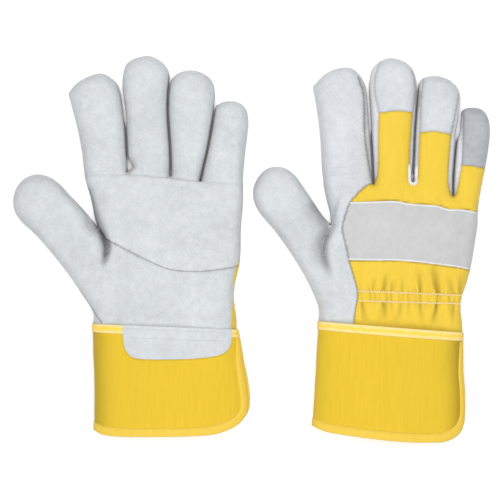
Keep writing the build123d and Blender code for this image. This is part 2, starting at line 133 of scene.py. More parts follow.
LEFT = Glove(
    side="left",
    palm_up=True,
    runs=[
        [(-112.9, -66), (-113.3, -54), (-112.3, -47), (-122.4, -30), (-136.7, -10), (-153.9, 10.2),
         (-163.8, 19.4), (-168.9, 27.2), (-169.9, 36), (-167.1, 44.8), (-160.6, 51.2), (-152.8, 53.4),
         (-145.1, 52), (-137.4, 47), (-129.7, 38.8), (-120.8, 29.4), (-109.5, 15.5)],
        [(-109.5, 15.5), (-111.4, 22), (-114.2, 36), (-118.6, 51.4), (-120.8, 69.1), (-123.6, 84.5),
         (-127.5, 99.9), (-130.7, 111.5)],
        [(-130.7, 111.5), (-124.2, 118.8), (-116.4, 123.3), (-106.5, 125.6), (-100.4, 122.6),
         (-95.4, 117.6), (-93.5, 112.1), (-91.6, 100), (-90.3, 86.7), (-89.7, 75.7), (-88.8, 64.6),
         (-88.1, 55.5)],
        [(-88.1, 55.5), (-84.2, 59)],
        [(-84.2, 59), (-87.7, 66), (-88.4, 83.4), (-89.7, 98.9), (-91.6, 113.2), (-91.6, 123.1),
         (-88.3, 133.1), (-73.7, 138.1), (-63.5, 133.5), (-58.6, 126), (-59.8, 109.9), (-60.3, 97.7),
         (-59.2, 84.5), (-58.3, 69.1), (-58.6, 58), (-57.4, 52.5)],
        [(-57.4, 52.5), (-56.0, 58), (-56.7, 69.1), (-57.2, 82.4), (-58.3, 93.4), (-58.4, 107.7),
         (-57.2, 118.8), (-53.5, 124.8), (-43.6, 127.8), (-33.6, 125.3), (-27.6, 119.8), (-25.9, 112.1),
         (-26.7, 102.2), (-28.5, 88.9), (-31.8, 71.3), (-34.7, 58.1), (-36.1, 48.7)],
        [(-36.1, 48.7), (-33.6, 55.8), (-30.1, 71.3), (-26.5, 91.2), (-24.8, 101.1), (-21.5, 104.4),
         (-13.8, 105.7), (-7.2, 103.8), (-3.3, 99.4), (-1.9, 91.2), (-2.8, 80.1), (-4.4, 66.8),
         (-5.8, 49.2), (-6, 30.5), (-7.2, 16.1), (-8, -9), (-11.6, -25.6), (-12.2, -36.3), (-10.4, -50),
         (-10.9, -66)],
    ],
    knuckles=[(-126, 52.4), (-88.1, 55.5), (-57.4, 52.5), (-36.1, 48.7), (2, 45.2)],
    gaps=[
        [(-88.1, 55.5), (-86.8, 59.5), (-88.2, 65), (-89.1, 80), (-90.6, 100), (-92.6, 113), (-95, 150)],
        [(-57.4, 52.5), (-57.4, 60), (-57.6, 70), (-59.4, 98), (-59, 112), (-57.9, 122), (-57, 150)],
        [(-36.1, 48.7), (-34, 58.3), (-31, 71.3), (-27.6, 90), (-25.8, 103), (-22, 150)],
    ],
    closed=[(64, 90), (55, 121), (49, 102)],
    leans=[-5.7, -1.0, 3.2, 7.4],
    thumb_line=[(-124, -53), (-112.4, -46.8), (-109.4, -30), (-106.2, -12), (-103, -3), (-101.9, 3),
                (-104.9, 9.4), (-109.5, 15.5), (-112.6, 22.5), (-124, 42), (-150, 66)],
    thumb_out=(-0.986, 0.1675),
    leather_edge=[(-88.1, 55.5), (-92, 50), (-96, 43), (-99.6, 36.6), (-101.4, 26), (-101.2, 16),
                  (-98.4, 5), (-95.4, -7), (-91, -20), (-88, -30), (-88.6, -45), (-90, -70)],
    strap_top=[(-99.6, 36.6), (-76, 37.4), (-54, 37), (-30, 34), (2, 30)],
    strap_bottom=[(-95.4, -7), (-76, -7.6), (-54, -7.5), (-30, -10), (-2, -14)],
    strips={
        "middle": ([(-83.9, 47), (-84.1, 75), (-85, 104)], [(-63, 47), (-63.4, 75), (-64, 104)]),
        "ring": ([(-55, 46), (-54.6, 65), (-54.4, 87)], [(-38.6, 46), (-35.4, 65), (-32, 87)]),
        "little": ([(-29, 42), (-27, 58), (-24.8, 73)], [(-10.5, 40), (-9.6, 58), (-8.6, 73)]),
    },
    caps={
        "middle": [(-94, 104), (-74, 103.4), (-54, 104)],
        "ring": [(-60.4, 87), (-43, 86.4), (-28.4, 87)],
        "little": [(-30.4, 74), (-16, 72.4), (1, 71.6)],
    },
    index_seam=[(-94.8, 117), (-96, 100), (-94, 76), (-90.5, 58)],
    patch_top=[(-124, 51.8), (-104, 52.6), (-88, 52.7), (-57.4, 50.2), (-36.1, 47.9), (-20, 46.8),
               (0, 45.6)],
    patch_bottom=[(-104, 7.9), (-101.5, 6.6), (-86.8, -1.3), (-72.3, -8.4), (-57.8, -14.2), (-39.8, -15.9),
                  (-20.8, -14.2), (-5, -10.9)],
    cuff_left=[(-112.6, -52.9), (-112.2, -70.7), (-111.4, -103.9), (-111.6, -128.4)],
    cuff_right=[(-9.7, -57.0), (-7.2, -70), (-5.5, -80.7), (-3.2, -90.6), (-1.5, -103.9), (-1.7, -129.6)],
    hem=[(-111.6, -128.4), (-105, -131.3), (-64.2, -132.4), (-39.3, -131.8), (-22.7, -130.8),
         (-1.7, -129.6)],
    tongue=[(-90.6, -51.6), (-90.3, -62.3), (-89, -70), (-85.4, -75.2), (-80.4, -77.2), (-55.9, -77.8),
            (-39.3, -77.2), (-22.7, -74.9), (-16.9, -71.4), (-14.6, -66), (-14.1, -54.6)],
    corner=(47, 28),
    slit=5.2,
    creases=[
        ([(-112.6, 20.6), (-110.2, 17.6), (-107.4, 14.4), (-104.9, 11.2), (-102.7, 7), (-101.4, 2.5),
          (-101.9, -2.5), (-103.4, -8), (-104.8, -13)], 18.0, 3.2, 1.0),
    ],
    # painted shade in the thumb's crease and along the palm's edge
    shades=[
        ([(-119, 47), (-115.6, 36), (-112.2, 25), (-108.5, 16.5), (-104.5, 11), (-101, 5)], 0.8, 1.0, 4.4),
        ([(-108.6, 40), (-103.5, 34.5), (-100.5, 31)], 0.13, 4.0, 4.0),
        ([(-111.8, 19.4), (-109.6, 16.9), (-106.9, 13.8), (-104.4, 10.6), (-102.6, 6.6),
          (-101.8, 3)], 1.05, 1.6, 1.2),
        ([(-110.4, 17.7), (-107.2, 12.8), (-105.2, 7.4), (-103.5, 1.3), (-103.5, -2.8), (-104.2, -8.9),
          (-104.6, -15)],
         0.85, 2.0, 2.0),
    ],
    tucks=[(-82, 1, 10, 0.8), (-71, 1, 8, 0.6), (-62, 1, 12, 1.0), (-49, 1, 11, 0.7), (-37, 1, 13, 1.1),
           (-25, 1, 9, 0.7), (-79, -1, 9, 0.7), (-66, -1, 11, 1.0), (-52, -1, 8, 0.5), (-40, -1, 12, 1.0),
           (-27, -1, 9, 0.6)],
    wedges=[
        [(-6.8, 29), (-8.1, 10), (-9.4, -7.5), (-11.2, -15), (-12.5, -22), (-11.9, -27)],
        [(-12.0, -28), (-12.9, -37), (-13.8, -46), (-14.3, -56.6), (-14.6, -72)],
    ],
    palm_seam=[(-121, -31), (-115.5, -39), (-111, -45.6), (-106.3, -52)],
)

RIGHT = Glove(
    side="right",
    palm_up=False,
    runs=[
        [(49.4, -65), (48.2, -51.4), (48.5, -43.5), (46.3, -36), (41.7, -25.7), (35.1, -13.5), (26.7, -0.4),
         (17.3, 12.7), (7, 24.8), (3.3, 31.3), (1.5, 37.9), (1.9, 44.4), (5.2, 51.4), (10.8, 57.1),
         (18.3, 58.9), (24.8, 57.5), (31.4, 52.8), (35, 48), (44.1, 34.7), (51.4, 23.8), (57.2, 17.5)],
        [(57.2, 17.5), (56.9, 24.5), (53.2, 39.4), (50.9, 54.9), (49.6, 76.8), (48.2, 91.4), (45.9, 106),
         (44.1, 116)],
        [(44.1, 116), (51.4, 123.8), (57.8, 127.8), (66, 129.8), (72, 129.2), (77, 125.1), (80.6, 119.6),
         (82.4, 114.2), (83.3, 104), (84.2, 91.4), (84.5, 84), (85.6, 65.8), (86.1, 54.9), (87.2, 47.1)],
        [(87.2, 47.1), (87.9, 54.9), (87.2, 65.8), (86.2, 84), (85.7, 91), (85.2, 100), (84.3, 115.1),
         (84.7, 120.6), (87, 129.6), (91.6, 133.8), (98.9, 136.5), (108, 134.7), (113.4, 131.1),
         (117.1, 125.1), (118.2, 118.7), (117.5, 111.4), (116.7, 98.7), (115.2, 85.9), (114.6, 73.1),
         (114.2, 62.2), (113.9, 53), (115.1, 48.5)],
        [(115.1, 48.5), (116.9, 53), (117.5, 64), (118.5, 85), (119.3, 103), (120.3, 118.7), (122.5, 121.9),
         (129.9, 123.8), (137.2, 122.8), (143.5, 119.6), (148.1, 114.2), (149.6, 108.7), (149, 101.4),
         (148.1, 91.4), (145, 78.6), (143.4, 60.3), (142.2, 46), (144, 38.5)],
        [(144, 38.5), (145.3, 50), (146.3, 60.3), (148.5, 78.6), (149.9, 91.4), (150.8, 98.7),
         (153.6, 100.5), (162.7, 100.7), (167.2, 97.7), (170, 91.4), (170.7, 84.1), (169.5, 71.3),
         (167.2, 57.6), (164.5, 43.9), (161.9, 28), (161.8, 18.2), (159.9, 5.6), (157.2, -10.9),
         (153.6, -25.5), (150.6, -34), (149.6, -41.9), (150.8, -52.8), (151.4, -68)],
    ],
    knuckles=[(44, 50.6), (87.2, 47.1), (115.1, 48.5), (144, 38.5), (172, 36)],
    gaps=[
        [(87.2, 47.1), (86.9, 56), (86.4, 66), (85.3, 84), (84.9, 91), (84.2, 102), (83.4, 115), (82, 150)],
        [(115.1, 48.5), (115.5, 56), (116, 64), (116.9, 85), (118, 100), (118.9, 112), (119.3, 120),
         (121, 150)],
        [(144, 38.5), (144.2, 50), (145, 62), (146.6, 78.6), (149, 91), (150, 101), (150.4, 112),
         (152, 150)],
    ],
    closed=[(48, 84), (53, 116), (41, 80)],
    leans=[-4.1, 0.5, 3.8, 6.4],
    thumb_line=[(36, -50), (48.5, -45.4), (50.8, -28), (51.6, -10), (52.0, 3), (55.8, 12.7), (57.2, 17.5),
                (54.4, 24.6), (46, 40), (30, 70)],
    thumb_out=(-0.9885, 0.151),
    leather_edge=[(87.2, 47.1), (83.5, 46.0), (78.7, 42.5), (74.2, 38), (70.1, 32.7), (66.6, 23.5),
                  (64.8, 15.6), (66, 7.4), (68.3, -1.7), (69.2, -7), (72.4, -18.2), (75.1, -28.2),
                  (75.3, -35), (73.8, -43.7), (72.8, -53.7), (72.4, -70)],
    strap_top=[(70.1, 32.7), (86, 33), (102.5, 33.4), (111.6, 31.7), (126.2, 30.6), (133.5, 29.8),
               (139, 27.9), (149, 27.5), (154.5, 26.8), (168, 24)],
    strap_bottom=[(69.2, -7), (83.3, -7.3), (102.5, -7.4), (117.1, -8.5), (135.3, -10.7), (149, -12.6),
                  (164, -16)],
    strips={
        "middle": (
            [(87.4, 46.4), (89.4, 51.5), (90.2, 58), (90.3, 75), (90.4, 88), (90.6, 96.8), (88.8, 106),
             (87.8, 113), (87.9, 121), (90, 129), (94, 140)],
            [(113.9, 46.8), (112.7, 52), (112.7, 60), (113.2, 75), (114.3, 88), (115.2, 97.2), (116.2, 106),
             (116.8, 113), (116.6, 120), (115, 127), (112, 140)],
        ),
        "ring": (
            [(116.6, 46.2), (118.3, 51), (118.9, 60), (119.2, 72), (119.9, 82.9), (120.3, 95), (120.8, 108),
             (121.8, 116), (124, 130)],
            [(142.6, 38.2), (140.6, 44), (140.1, 53), (141.2, 70), (142.3, 81.5), (144.4, 92), (146.8, 103),
             (148, 110), (150, 118)],
        ),
        "little": (
            [(145.2, 37.9), (146.6, 43), (148.1, 51), (149.6, 59.9), (150.4, 76), (150.9, 90),
             (151.6, 106)],
            [(178, 30), (178, 110)],
        ),
    },
    caps={
        "middle": [(90.6, 96.8), (103, 98.1), (115.2, 97.2)],
        "ring": [(119.9, 82.9), (131, 83.5), (142.3, 81.5)],
        "little": [(149.6, 59.9), (158, 58.9), (172, 56.4)],
    },
    index_seam=[(76, 122), (79.6, 112), (80.3, 98), (80.4, 87.7), (81.9, 71.3), (84.6, 55.8), (86.2, 49)],
    patch_top=[(44, 48), (87.2, 45), (115.1, 46), (144, 36.6), (172, 34)],
    patch_bottom=[(58, 12), (74, 4), (88, -6), (104, -13), (128, -18), (148, -17), (164, -14)],
    cuff_left=[(48.0, -51.1), (47.2, -66), (46.2, -81.9), (44.9, -104.8), (43.7, -125.6)],
    cuff_right=[(150.6, -59.1), (150.3, -72), (150.6, -89.2), (151.6, -100.2), (151.4, -136.4)],
    hem=[(43.7, -125.6), (51.4, -128.7), (71.5, -132), (98.9, -135.3), (117.1, -136.4), (151.4, -136.4)],
    tongue=[(69, -51.5), (69.3, -60), (71, -69), (76, -75), (83, -77), (108, -79.3), (130, -80), (139, -78),
            (144.4, -72), (146, -65), (146, -58.6)],
    corner=(32, 26),
    slit=2.0,
    creases=[
        ([(57.2, 17.5), (55.8, 12.7), (52.0, 3.3), (52.6, -6.1), (54.7, -13.5), (59, -22)], 15.0, 8.0, 1.2),
    ],
    # painted shade beside the thumb, in its crease, and along the index finger's inner seam
    shades=[
        ([(40, 37), (48, 27.5), (55.6, 16), (53.4, 6), (52.4, -5), (54.4, -13)], 0.42, 7.5, 0.8),
        ([(52.4, 20), (55.2, 12.7), (52.4, 4), (52.5, -6), (54.7, -13.5), (59, -22)], 0.5, 3.2, 0.8),
        ([(86.6, 49), (84.6, 58), (82.6, 68), (81, 82)], 0.3, 0.8, 1.2),
    ],
    tucks=[(86.5, 1, 8, 0.6), (93.7, 1, 11, 1.1), (100.4, 1, 7, 0.5), (107.2, 1, 9, 0.5),
           (120.3, 1, 13, 0.9), (132.6, 1, 18, 1.4), (143.6, 1, 9, 0.7), (148, 1, 12, 0.9),
           (79, -1, 12, 0.8), (94.2, -1, 10, 1.2), (106.4, -1, 13, 0.6), (119.8, -1, 12, 0.7),
           (132.2, -1, 13, 1.3), (144, -1, 9, 0.6)],
)

FINGERS = ("index", "middle", "ring", "little")


# ---- working in plan -------------------------------------------------------------------------------------


def smooth_line(points, step=1.2):
    """Points along a centripetal Catmull-Rom curve through the given ones."""
    p = np.array(points, float)
    if len(p) == 2:
        n = max(1, round(float(np.linalg.norm(p[1] - p[0])) / step))
        return p[0] + (p[1] - p[0]) * np.linspace(0, 1, n + 1)[:, None]
    p = np.vstack([2 * p[0] - p[1], p, 2 * p[-1] - p[-2]])
    made = []
    for a, b, c, d in zip(p, p[1:], p[2:], p[3:]):
        t1 = np.linalg.norm(b - a) ** 0.5
        t2 = t1 + np.linalg.norm(c - b) ** 0.5
        t3 = t2 + np.linalg.norm(d - c) ** 0.5
        n = max(1, round(float(np.linalg.norm(c - b)) / step))
        t = (t1 + (t2 - t1) * np.arange(n) / n)[:, None]
        ab = a + (b - a) * t / t1
        bc = b + (c - b) * (t - t1) / (t2 - t1)
        cd = c + (d - c) * (t - t2) / (t3 - t2)
        abc, bcd = ab + (bc - ab) * t / t2, bc + (cd - bc) * (t - t1) / (t3 - t1)
        made.append(abc + (bcd - abc) * (t - t1) / (t2 - t1))
    return np.vstack([*made, p[-2][None]])


def inside(points, polygon):
    """True for the points inside a polygon."""
    x, y = points[:, 0][:, None], points[:, 1][:, None]
    a, b = np.asarray(polygon, float), np.roll(np.asarray(polygon, float), -1, axis=0)
    spans = (a[:, 1] > y) != (b[:, 1] > y)
    rise = np.where(b[:, 1] == a[:, 1], 1e-12, b[:, 1] - a[:, 1])
    crosses = spans & (x < a[:, 0] + (y - a[:, 1]) * (b[:, 0] - a[:, 0]) / rise)
    return crosses.sum(axis=1) % 2 == 1


def from_line(points, line, closed=False):
    """Each point's distance from a line, its side (+1 left of the line's way) and how far along it lies."""
    a = np.asarray(line, float)
    b = np.roll(a, -1, axis=0) if closed else a[1:]
    a = a if closed else a[:-1]
    ab = b - a
    lengths = np.linalg.norm(ab, axis=1)
    start = np.concatenate([[0], np.cumsum(lengths)[:-1]])
    best, side, along = np.full(len(points), 1e9), np.ones(len(points)), np.zeros(len(points))
    for i in range(len(a)):
        ap = points - a[i]
        t = np.clip((ap @ ab[i]) / max(lengths[i] ** 2, 1e-12), 0, 1)
        d = np.linalg.norm(ap - t[:, None] * ab[i], axis=1)
        near = d < best
        best[near] = d[near]
        side[near] = np.sign(ab[i][0] * ap[near, 1] - ab[i][1] * ap[near, 0])
        along[near] = start[i] + t[near] * lengths[i]
    return best, side, along / max(lengths.sum(), 1e-9)


def length_along(line):
    """How far along a line each of its points lies."""
    return np.concatenate([[0], np.cumsum(np.linalg.norm(np.diff(line, axis=0), axis=1))])


def smoothstep(x):
    x = np.clip(x, 0, 1)
    return x * x * (3 - 2 * x)


def bell(distance, width):
    """1 at no distance, fading to nothing past the width."""
    return np.exp(-((distance / width) ** 2))


def rounded(share):
    """The height of a quarter circle, from 0 at its edge to 1."""
    return np.sqrt(1 - (1 - np.clip(share, 0, 1)) ** 2)


def soft_noise(points, size, seed):
    """Smooth noise between about -1 and 1 whose bumps are about size millimetres across."""
    shift = Vector((seed * 17.3, seed * 5.1, seed * 9.7))
    return np.array([noise.noise(Vector((x, y, 0)) / size + shift) for x, y in points])


# ---- the hand as one shell -------------------------------------------------------------------------------


class Shell:
    """The hand of a glove: a net of points in plan, lifted to an upper and a lower surface."""

    def __init__(self, glove):
        self.glove = glove
        runs = [smooth_line(run) for run in glove.runs]
        self.outline = self.touching(np.vstack([run[:-1] for run in runs] + [runs[-1][-1:]]))
        self.lines = self.seam_lines()
        self.known = {}
        self.net()
        self.lift()

    def touching(self, outline):
        """The outline, with the fingers' sides drawn together where they touch."""
        for line, (low, high) in zip(self.glove.gaps, self.glove.closed):
            line = smooth_line(line)
            d, side, along = from_line(outline, line)
            gone = length_along(line)
            at = along * gone[-1]
            foot = np.stack([np.interp(at, gone, line[:, k]) for k in (0, 1)], axis=1)
            y = outline[:, 1]
            pull = smoothstep((y - low) / 5 + 0.5) * smoothstep((high - y) / 8 + 0.5)
            pull = np.where((d > 0.2) & (d < 2.6), pull, 0)
            wanted = 0.15 + (d - 0.15) * (1 - pull)
            outline = foot + (outline - foot) * (wanted / np.maximum(d, 1e-6))[:, None]
        return outline

    def seam_lines(self):
        g = self.glove
        made = {"thumb": smooth_line(g.thumb_line)}
        for name in ("leather_edge", "strap_top", "strap_bottom", "index_seam", "patch_top", "patch_bottom"):
            made[name] = smooth_line(getattr(g, name))
        for i in range(4):
            made[f"mouth_{i}"] = smooth_line(g.knuckles[i : i + 2])
        for name in g.strips:
            for k, edge in enumerate(g.strips[name]):
                made[f"strip_{name}_{k}"] = smooth_line(edge)
            made[f"cap_{name}"] = smooth_line(g.caps[name])
        for k, line in enumerate(g.wedges):
            made[f"wedge_{k}"] = smooth_line(line)
        if g.palm_seam:
            made["palm_seam"] = smooth_line(g.palm_seam)
        return made

    def net(self):
        """Triangles in plan whose edges run along the outline and every seam."""
        outline = self.outline
        ahead = np.roll(outline, -1, axis=0) - np.roll(outline, 1, axis=0)
        inward = np.stack([ahead[:, 1], -ahead[:, 0]], axis=1) / np.linalg.norm(ahead, axis=1)[:, None]
        rows = [outline + inward * d for d in (0.3, 0.8, 1.6)]
        low, high = outline.min(axis=0), outline.max(axis=0)
        grid = []
        gathered = (self.glove.leather_edge[0][0] - 24, self.glove.strap_bottom[-1][1] - 40)
        for step in (STEP, WRIST_STEP):
            across = np.arange(low[0], high[0], step)
            net = np.vstack([
                np.stack([across + (k % 2) * step / 2, np.full(len(across), y)], axis=1)
                for k, y in enumerate(np.arange(low[1], high[1], step * 0.866))
            ])
            fine = (net[:, 0] > gathered[0]) & (net[:, 1] > gathered[1]) & (net[:, 1] < gathered[1] + 46)
            grid.append(net[fine == (step == WRIST_STEP)])
        kept = []
        for points, reach in zip([*rows, np.vstack(grid)], (0.27, 0.7, 1.4, 2.3)):
            points = points[inside(points, outline)]
            points = points[from_line(points, outline, closed=True)[0] > reach]
            for line in self.lines.values():
                points = points[from_line(points, line)[0] > 0.62]
            kept.append(points)
        coords, edges = [], []
        for line, closed in [(outline, True)] + [(l, False) for l in self.lines.values()]:
            first = len(coords)
            coords += [tuple(p) for p in line]
            edges += [(i, i + 1) for i in range(first, len(coords) - 1)]
            if closed:
                edges.append((len(coords) - 1, first))
        coords += [tuple(p) for p in np.vstack(kept)]
        verts, _, faces, *_ = delaunay_2d_cdt([Vector(c) for c in coords], edges, [], 0, 0.02)
        points, faces = np.array([v[:] for v in verts]), np.array(faces, int)
        middles = points[faces].mean(axis=1)
        a, b, c = (points[faces[:, k]] for k in range(3))
        area = (b[:, 0] - a[:, 0]) * (c[:, 1] - a[:, 1]) - (b[:, 1] - a[:, 1]) * (c[:, 0] - a[:, 0])
        faces = np.where((area < 0)[:, None], faces[:, ::-1], faces)
        faces = faces[inside(middles, outline) & (np.abs(area) > 1e-5)]
        used, faces = np.unique(faces, return_inverse=True)
        self.points, self.faces = points[used], faces.reshape(-1, 3)
        sides = [self.faces[:, pair] for pair in ([0, 1], [1, 2], [2, 0])]
        pairs = np.sort(np.vstack(sides), axis=1)
        self.edges, uses = np.unique(pairs, axis=0, return_counts=True)
        rim = np.zeros(len(self.points), bool)
        rim[self.edges[uses == 1].ravel()] = True
        ends = np.array([outline[-1], outline[0]])
        wrist = from_line(self.points, ends)[0] < 0.05
        apart = [np.abs(self.points - end).max(axis=1) > 0.05 for end in ends]
        self.rim = rim & ~(wrist & apart[0] & apart[1])

    def level(self, reach):
        """0 on the outline, rising to 1 in the middle of wide parts: how far in a membrane feels the edge."""
        p, f = self.points, self.faces
        n = len(p)
        weights = np.zeros(0)
        rows, cols = [], []
        area = np.zeros(n)
        for k in range(3):
            i, j, o = f[:, k], f[:, (k + 1) % 3], f[:, (k + 2) % 3]
            u, v = p[i] - p[o], p[j] - p[o]
            crossed = np.maximum(np.abs(u[:, 0] * v[:, 1] - u[:, 1] * v[:, 0]), 1e-9)
            rows.append(i)
            cols.append(j)
            weights = np.concatenate([weights, np.clip((u * v).sum(axis=1) / crossed / 2, 1e-3, 20)])
            area += np.bincount(o, crossed / 6, n)
        rows, cols = np.concatenate(rows), np.concatenate(cols)
        pull = area / reach**2
        free = ~self.rim
        diagonal = pull + np.bincount(rows, weights, n) + np.bincount(cols, weights, n)

        def apply(x):
            there = np.bincount(rows, weights * x[cols], n)
            return diagonal * x - there - np.bincount(cols, weights * x[rows], n)

        x = np.zeros(n)
        r = np.where(free, pull, 0.0)
        z = r / diagonal
        d, rz = z.copy(), float(r @ z)
        for _ in range(400):
            q = np.where(free, apply(d), 0.0)
            a = rz / float(d @ q)
            x += a * d
            r -= a * q
            z = r / diagonal
            new = float(r @ z)
            if new < 1e-10:
                break
            d = z + (new / rz) * d
            rz = new
        return np.clip(x, 0, 1)

    def lift(self):
        g, p = self.glove, self.points
        near, broad = self.level(EDGE_ROUND), self.level(HAND_ROUND)
        crown = np.sqrt(np.clip(1 - (1 - near) ** 2, 0, 1))
        top = EDGE_HEIGHT + crown * (DIGIT_RISE + HAND_RISE * broad)
        bottom = EDGE_HEIGHT - crown * (EDGE_HEIGHT - REST_HEIGHT)
        top += crown * (0.7 * soft_noise(p, 34, 1) + 0.35 * soft_noise(p, 13, 2) + 0.12 * soft_noise(p, 5, 3))
        bottom += crown * 0.25 * (1 + soft_noise(p, 21, 4))
        shade = np.zeros(len(p))
        for line, depth, left, right in g.creases:
            d, side, along = from_line(p, smooth_line(line))
            width = np.where(side > 0, right, left)
            fade = smoothstep((1 - along) / 0.6)
            top = np.maximum(top - depth * fade * np.exp(-d / width) * crown, bottom + 2.5 * crown)
        # painted shade along each of the glove's shade lines
        for line, dark, right, left in g.shades:
            d, side, along = from_line(p, smooth_line(line))
            fade = smoothstep(along / 0.15) * smoothstep((1 - along) / 0.35)
            shade = np.maximum(shade, dark * fade * bell(d, np.where(side > 0, left, right)))
        # painted shade in the gaps where the fingers touch
        gap = np.min([from_line(p, smooth_line(line))[0] for line in g.gaps], axis=0)
        shade = np.maximum(shade, DEEPEST * np.exp(-((gap / 0.95) ** 4)))
        if g.palm_up:  # near the cuff the palm rises to meet the tongue
            wide = smoothstep((p[:, 0] - g.tongue[0][0] + 6) / 8)
            wide *= smoothstep((g.tongue[-1][0] + 6 - p[:, 0]) / 8)
            top += 3.2 * smoothstep((-41 - p[:, 1]) / 12) * wide * crown
        self.crown = crown
        back, palm = (bottom, top) if g.palm_up else (top, bottom)
        out = -1.0 if g.palm_up else 1.0
        relief, folds = self.gathers()
        back += out * (self.back_relief() + relief) * crown
        palm -= out * self.palm_relief() * crown
        bottom[:] = np.where(self.rim, EDGE_HEIGHT, np.maximum(bottom, 0.5))
        self.top, self.bottom = (palm, back) if g.palm_up else (back, palm)
        on_digit = self.regions()
        # painted shade on the cloth in a thin line just outside the strap's pipings
        strap = np.minimum(self.off("strap_top"), self.off("strap_bottom"))
        outside = self.above("strap_top", p) | ~self.above("strap_bottom", p)
        cloth = outside & self.right_of("leather_edge") & ~on_digit
        beside = np.where(cloth, 0.55 * bell(strap - 1.1, 0.55), 0)
        # painted shade in the gathers' folds, beside the strap's painted shade
        back_shade = np.maximum(beside, folds * crown)
        # painted shade along the back's seams
        for name, dark in self.back_seams():
            only = on_digit if name.startswith(("strip", "cap")) else True
            back_shade = np.maximum(back_shade, np.where(only, dark * bell(self.off(name), 0.5), 0))
        # painted shade along the palm patch's edges and the palm seam
        patch_line = np.clip(1.2 - 2.4 * np.abs(from_line(p, self.lines["patch_top"])[2] - 0.5), 0.15, 1)
        palm_shade = 0.22 * patch_line * bell(self.off("patch_top"), 0.45)
        for name, dark in (("patch_bottom", 0.5), ("palm_seam", 0.55)):
            if name in self.lines:
                palm_shade = np.maximum(palm_shade, dark * bell(self.off(name), 0.45))
        made = (palm_shade, back_shade) if g.palm_up else (back_shade, palm_shade)
        # painted shade on the underside beside the gaps between the fingers
        under = 0.9 * bell(gap, 3.0)
        self.shade = {
            "top": np.clip(np.maximum(shade, made[0]), 0, DEEPEST),
            "bottom": np.clip(np.maximum(under, made[1]), 0, DEEPEST),
        }
        self.normals()

    def back_seams(self):
        # darkness of the painted shade along each seam of the back
        found = [("leather_edge", 0.62), ("index_seam", 0.65)]
        for name in self.glove.strips:
            found += [(f"strip_{name}_0", 0.35), (f"strip_{name}_1", 0.45), (f"cap_{name}", 0.4)]
        return found

    def off(self, name):
        """Distance of each point from a seam."""
        if name not in self.known:
            self.known[name] = from_line(self.points, self.lines[name])[0]
        return self.known[name]

    def groove(self, name, depth, width=0.6):
        return -depth * bell(self.off(name), width)

    def back_relief(self):
        """How far the back stands out from its plain surface: its seams, and soft folds beside the strap."""
        g, p = self.glove, self.points
        on_digit = self.regions()
        made = np.zeros(len(p))
        for name in g.strips:
            seams = self.groove(f"strip_{name}_0", 0.55) + self.groove(f"strip_{name}_1", 0.55)
            made += np.where(on_digit, seams + self.groove(f"cap_{name}", 0.45), 0)
        made += self.groove("leather_edge", 0.6)
        made += self.groove("index_seam", 0.5)
        cloth = self.right_of("leather_edge")
        x, y = p[:, 0], p[:, 1]
        fan = bell(y - np.interp(x, *np.array(g.strap_top).T), 9)
        fan = fan + bell(y - np.interp(x, *np.array(g.strap_bottom).T), 7)
        ripple = 0.45 * fan * np.cos(2 * pi * x / 13 + 2 * soft_noise(p, 24, 12))
        made += np.where(cloth & ~on_digit, ripple, 0)
        return made

    def gathers(self):
        """The wrist's cloth, drawn in by elastic: tight puckers between the two rows of stitching, and longer
        folds that run out above and below them. Returns the relief and the painted shade in its folds."""
        g, p = self.glove, self.points
        x, y = p[:, 0], p[:, 1]
        upper, lower = (row(x) for row in self.gather_rows())
        low = y < np.interp(x, *np.array(g.strap_bottom).T) - 0.6
        here = np.where(self.right_of("leather_edge") & low, smoothstep(self.off("leather_edge") / 2.5), 0)
        up, down = np.clip(y - upper, 0, None), np.clip(lower - y, 0, None)
        away = up + down
        wander = 0.9 * soft_noise(p, 8, 11)
        puckers = sum(
            size * np.cos(2 * pi * (x + wander) / period + phase)
            for period, phase, size in ((4.1, 0.4, 0.32), (6.3, 2.2, 0.3), (9.7, 4.1, 0.25))
        )
        relief = 1.2 * puckers * np.exp(-away / 4.0)
        broad = np.cos(2 * pi * (x + 1.6 * soft_noise(p, 14, 17)) / 10.4 + 0.06 * y)
        relief += broad * np.exp(-away / 13.0)
        relief -= 1.6 * bell(y - (upper + lower) / 2, 12)
        for row in (upper, lower):
            relief -= 0.8 * bell(y - row, 0.9)
        # painted shade in the hollows of the puckers
        dark = 0.22 * np.clip(-puckers, 0, 1) * np.exp(-away / 2.5)
        for at, way, length, size in g.tucks:
            run = up if way > 0 else down
            centre = at + 0.22 * sin(at * 1.7) * run + 0.4 * soft_noise(p, 6, 31)
            width = 0.85 + 0.1 * run
            on = np.where(run > 0, np.clip(1 - run / (1.35 * length), 0, 1) ** 0.8, 0)
            valley = bell(x - centre, width)
            ridge = bell(x - centre + 2.4 * width, 1.5 * width)
            ridge += 0.7 * bell(x - centre - 2.4 * width, 1.5 * width)
            relief += size * on * (0.9 * ridge - 1.4 * valley)
            # painted shade down each tuck's valley
            dark = np.maximum(dark, 0.52 * min(size, 1.2) * on * valley)
        return here * relief, here * dark

    def gather_rows(self):
        """The two rows of elastic stitching across the wrist, as heights in plan at a given x."""
        g = self.glove
        left, right = g.leather_edge[-6][0], g.runs[-1][-1][0]
        if g.palm_up:
            return (lambda x: -29.0 - (x - left) * 0.03), (lambda x: -37.5 - (x - left) * 0.03)
        return (lambda x: -29.4 - (x - left) * 0.043), (lambda x: -36.5 - (x - left) * 0.031)

    def palm_relief(self):
        made = np.zeros(len(self.points))
        if self.glove.palm_up:
            made += self.groove("thumb", 0.15, 0.8) + self.groove("palm_seam", 0.5)
        return made

    def regions(self):
        """True for the points on a finger or the thumb."""
        return self.finger_of(self.points) >= 0

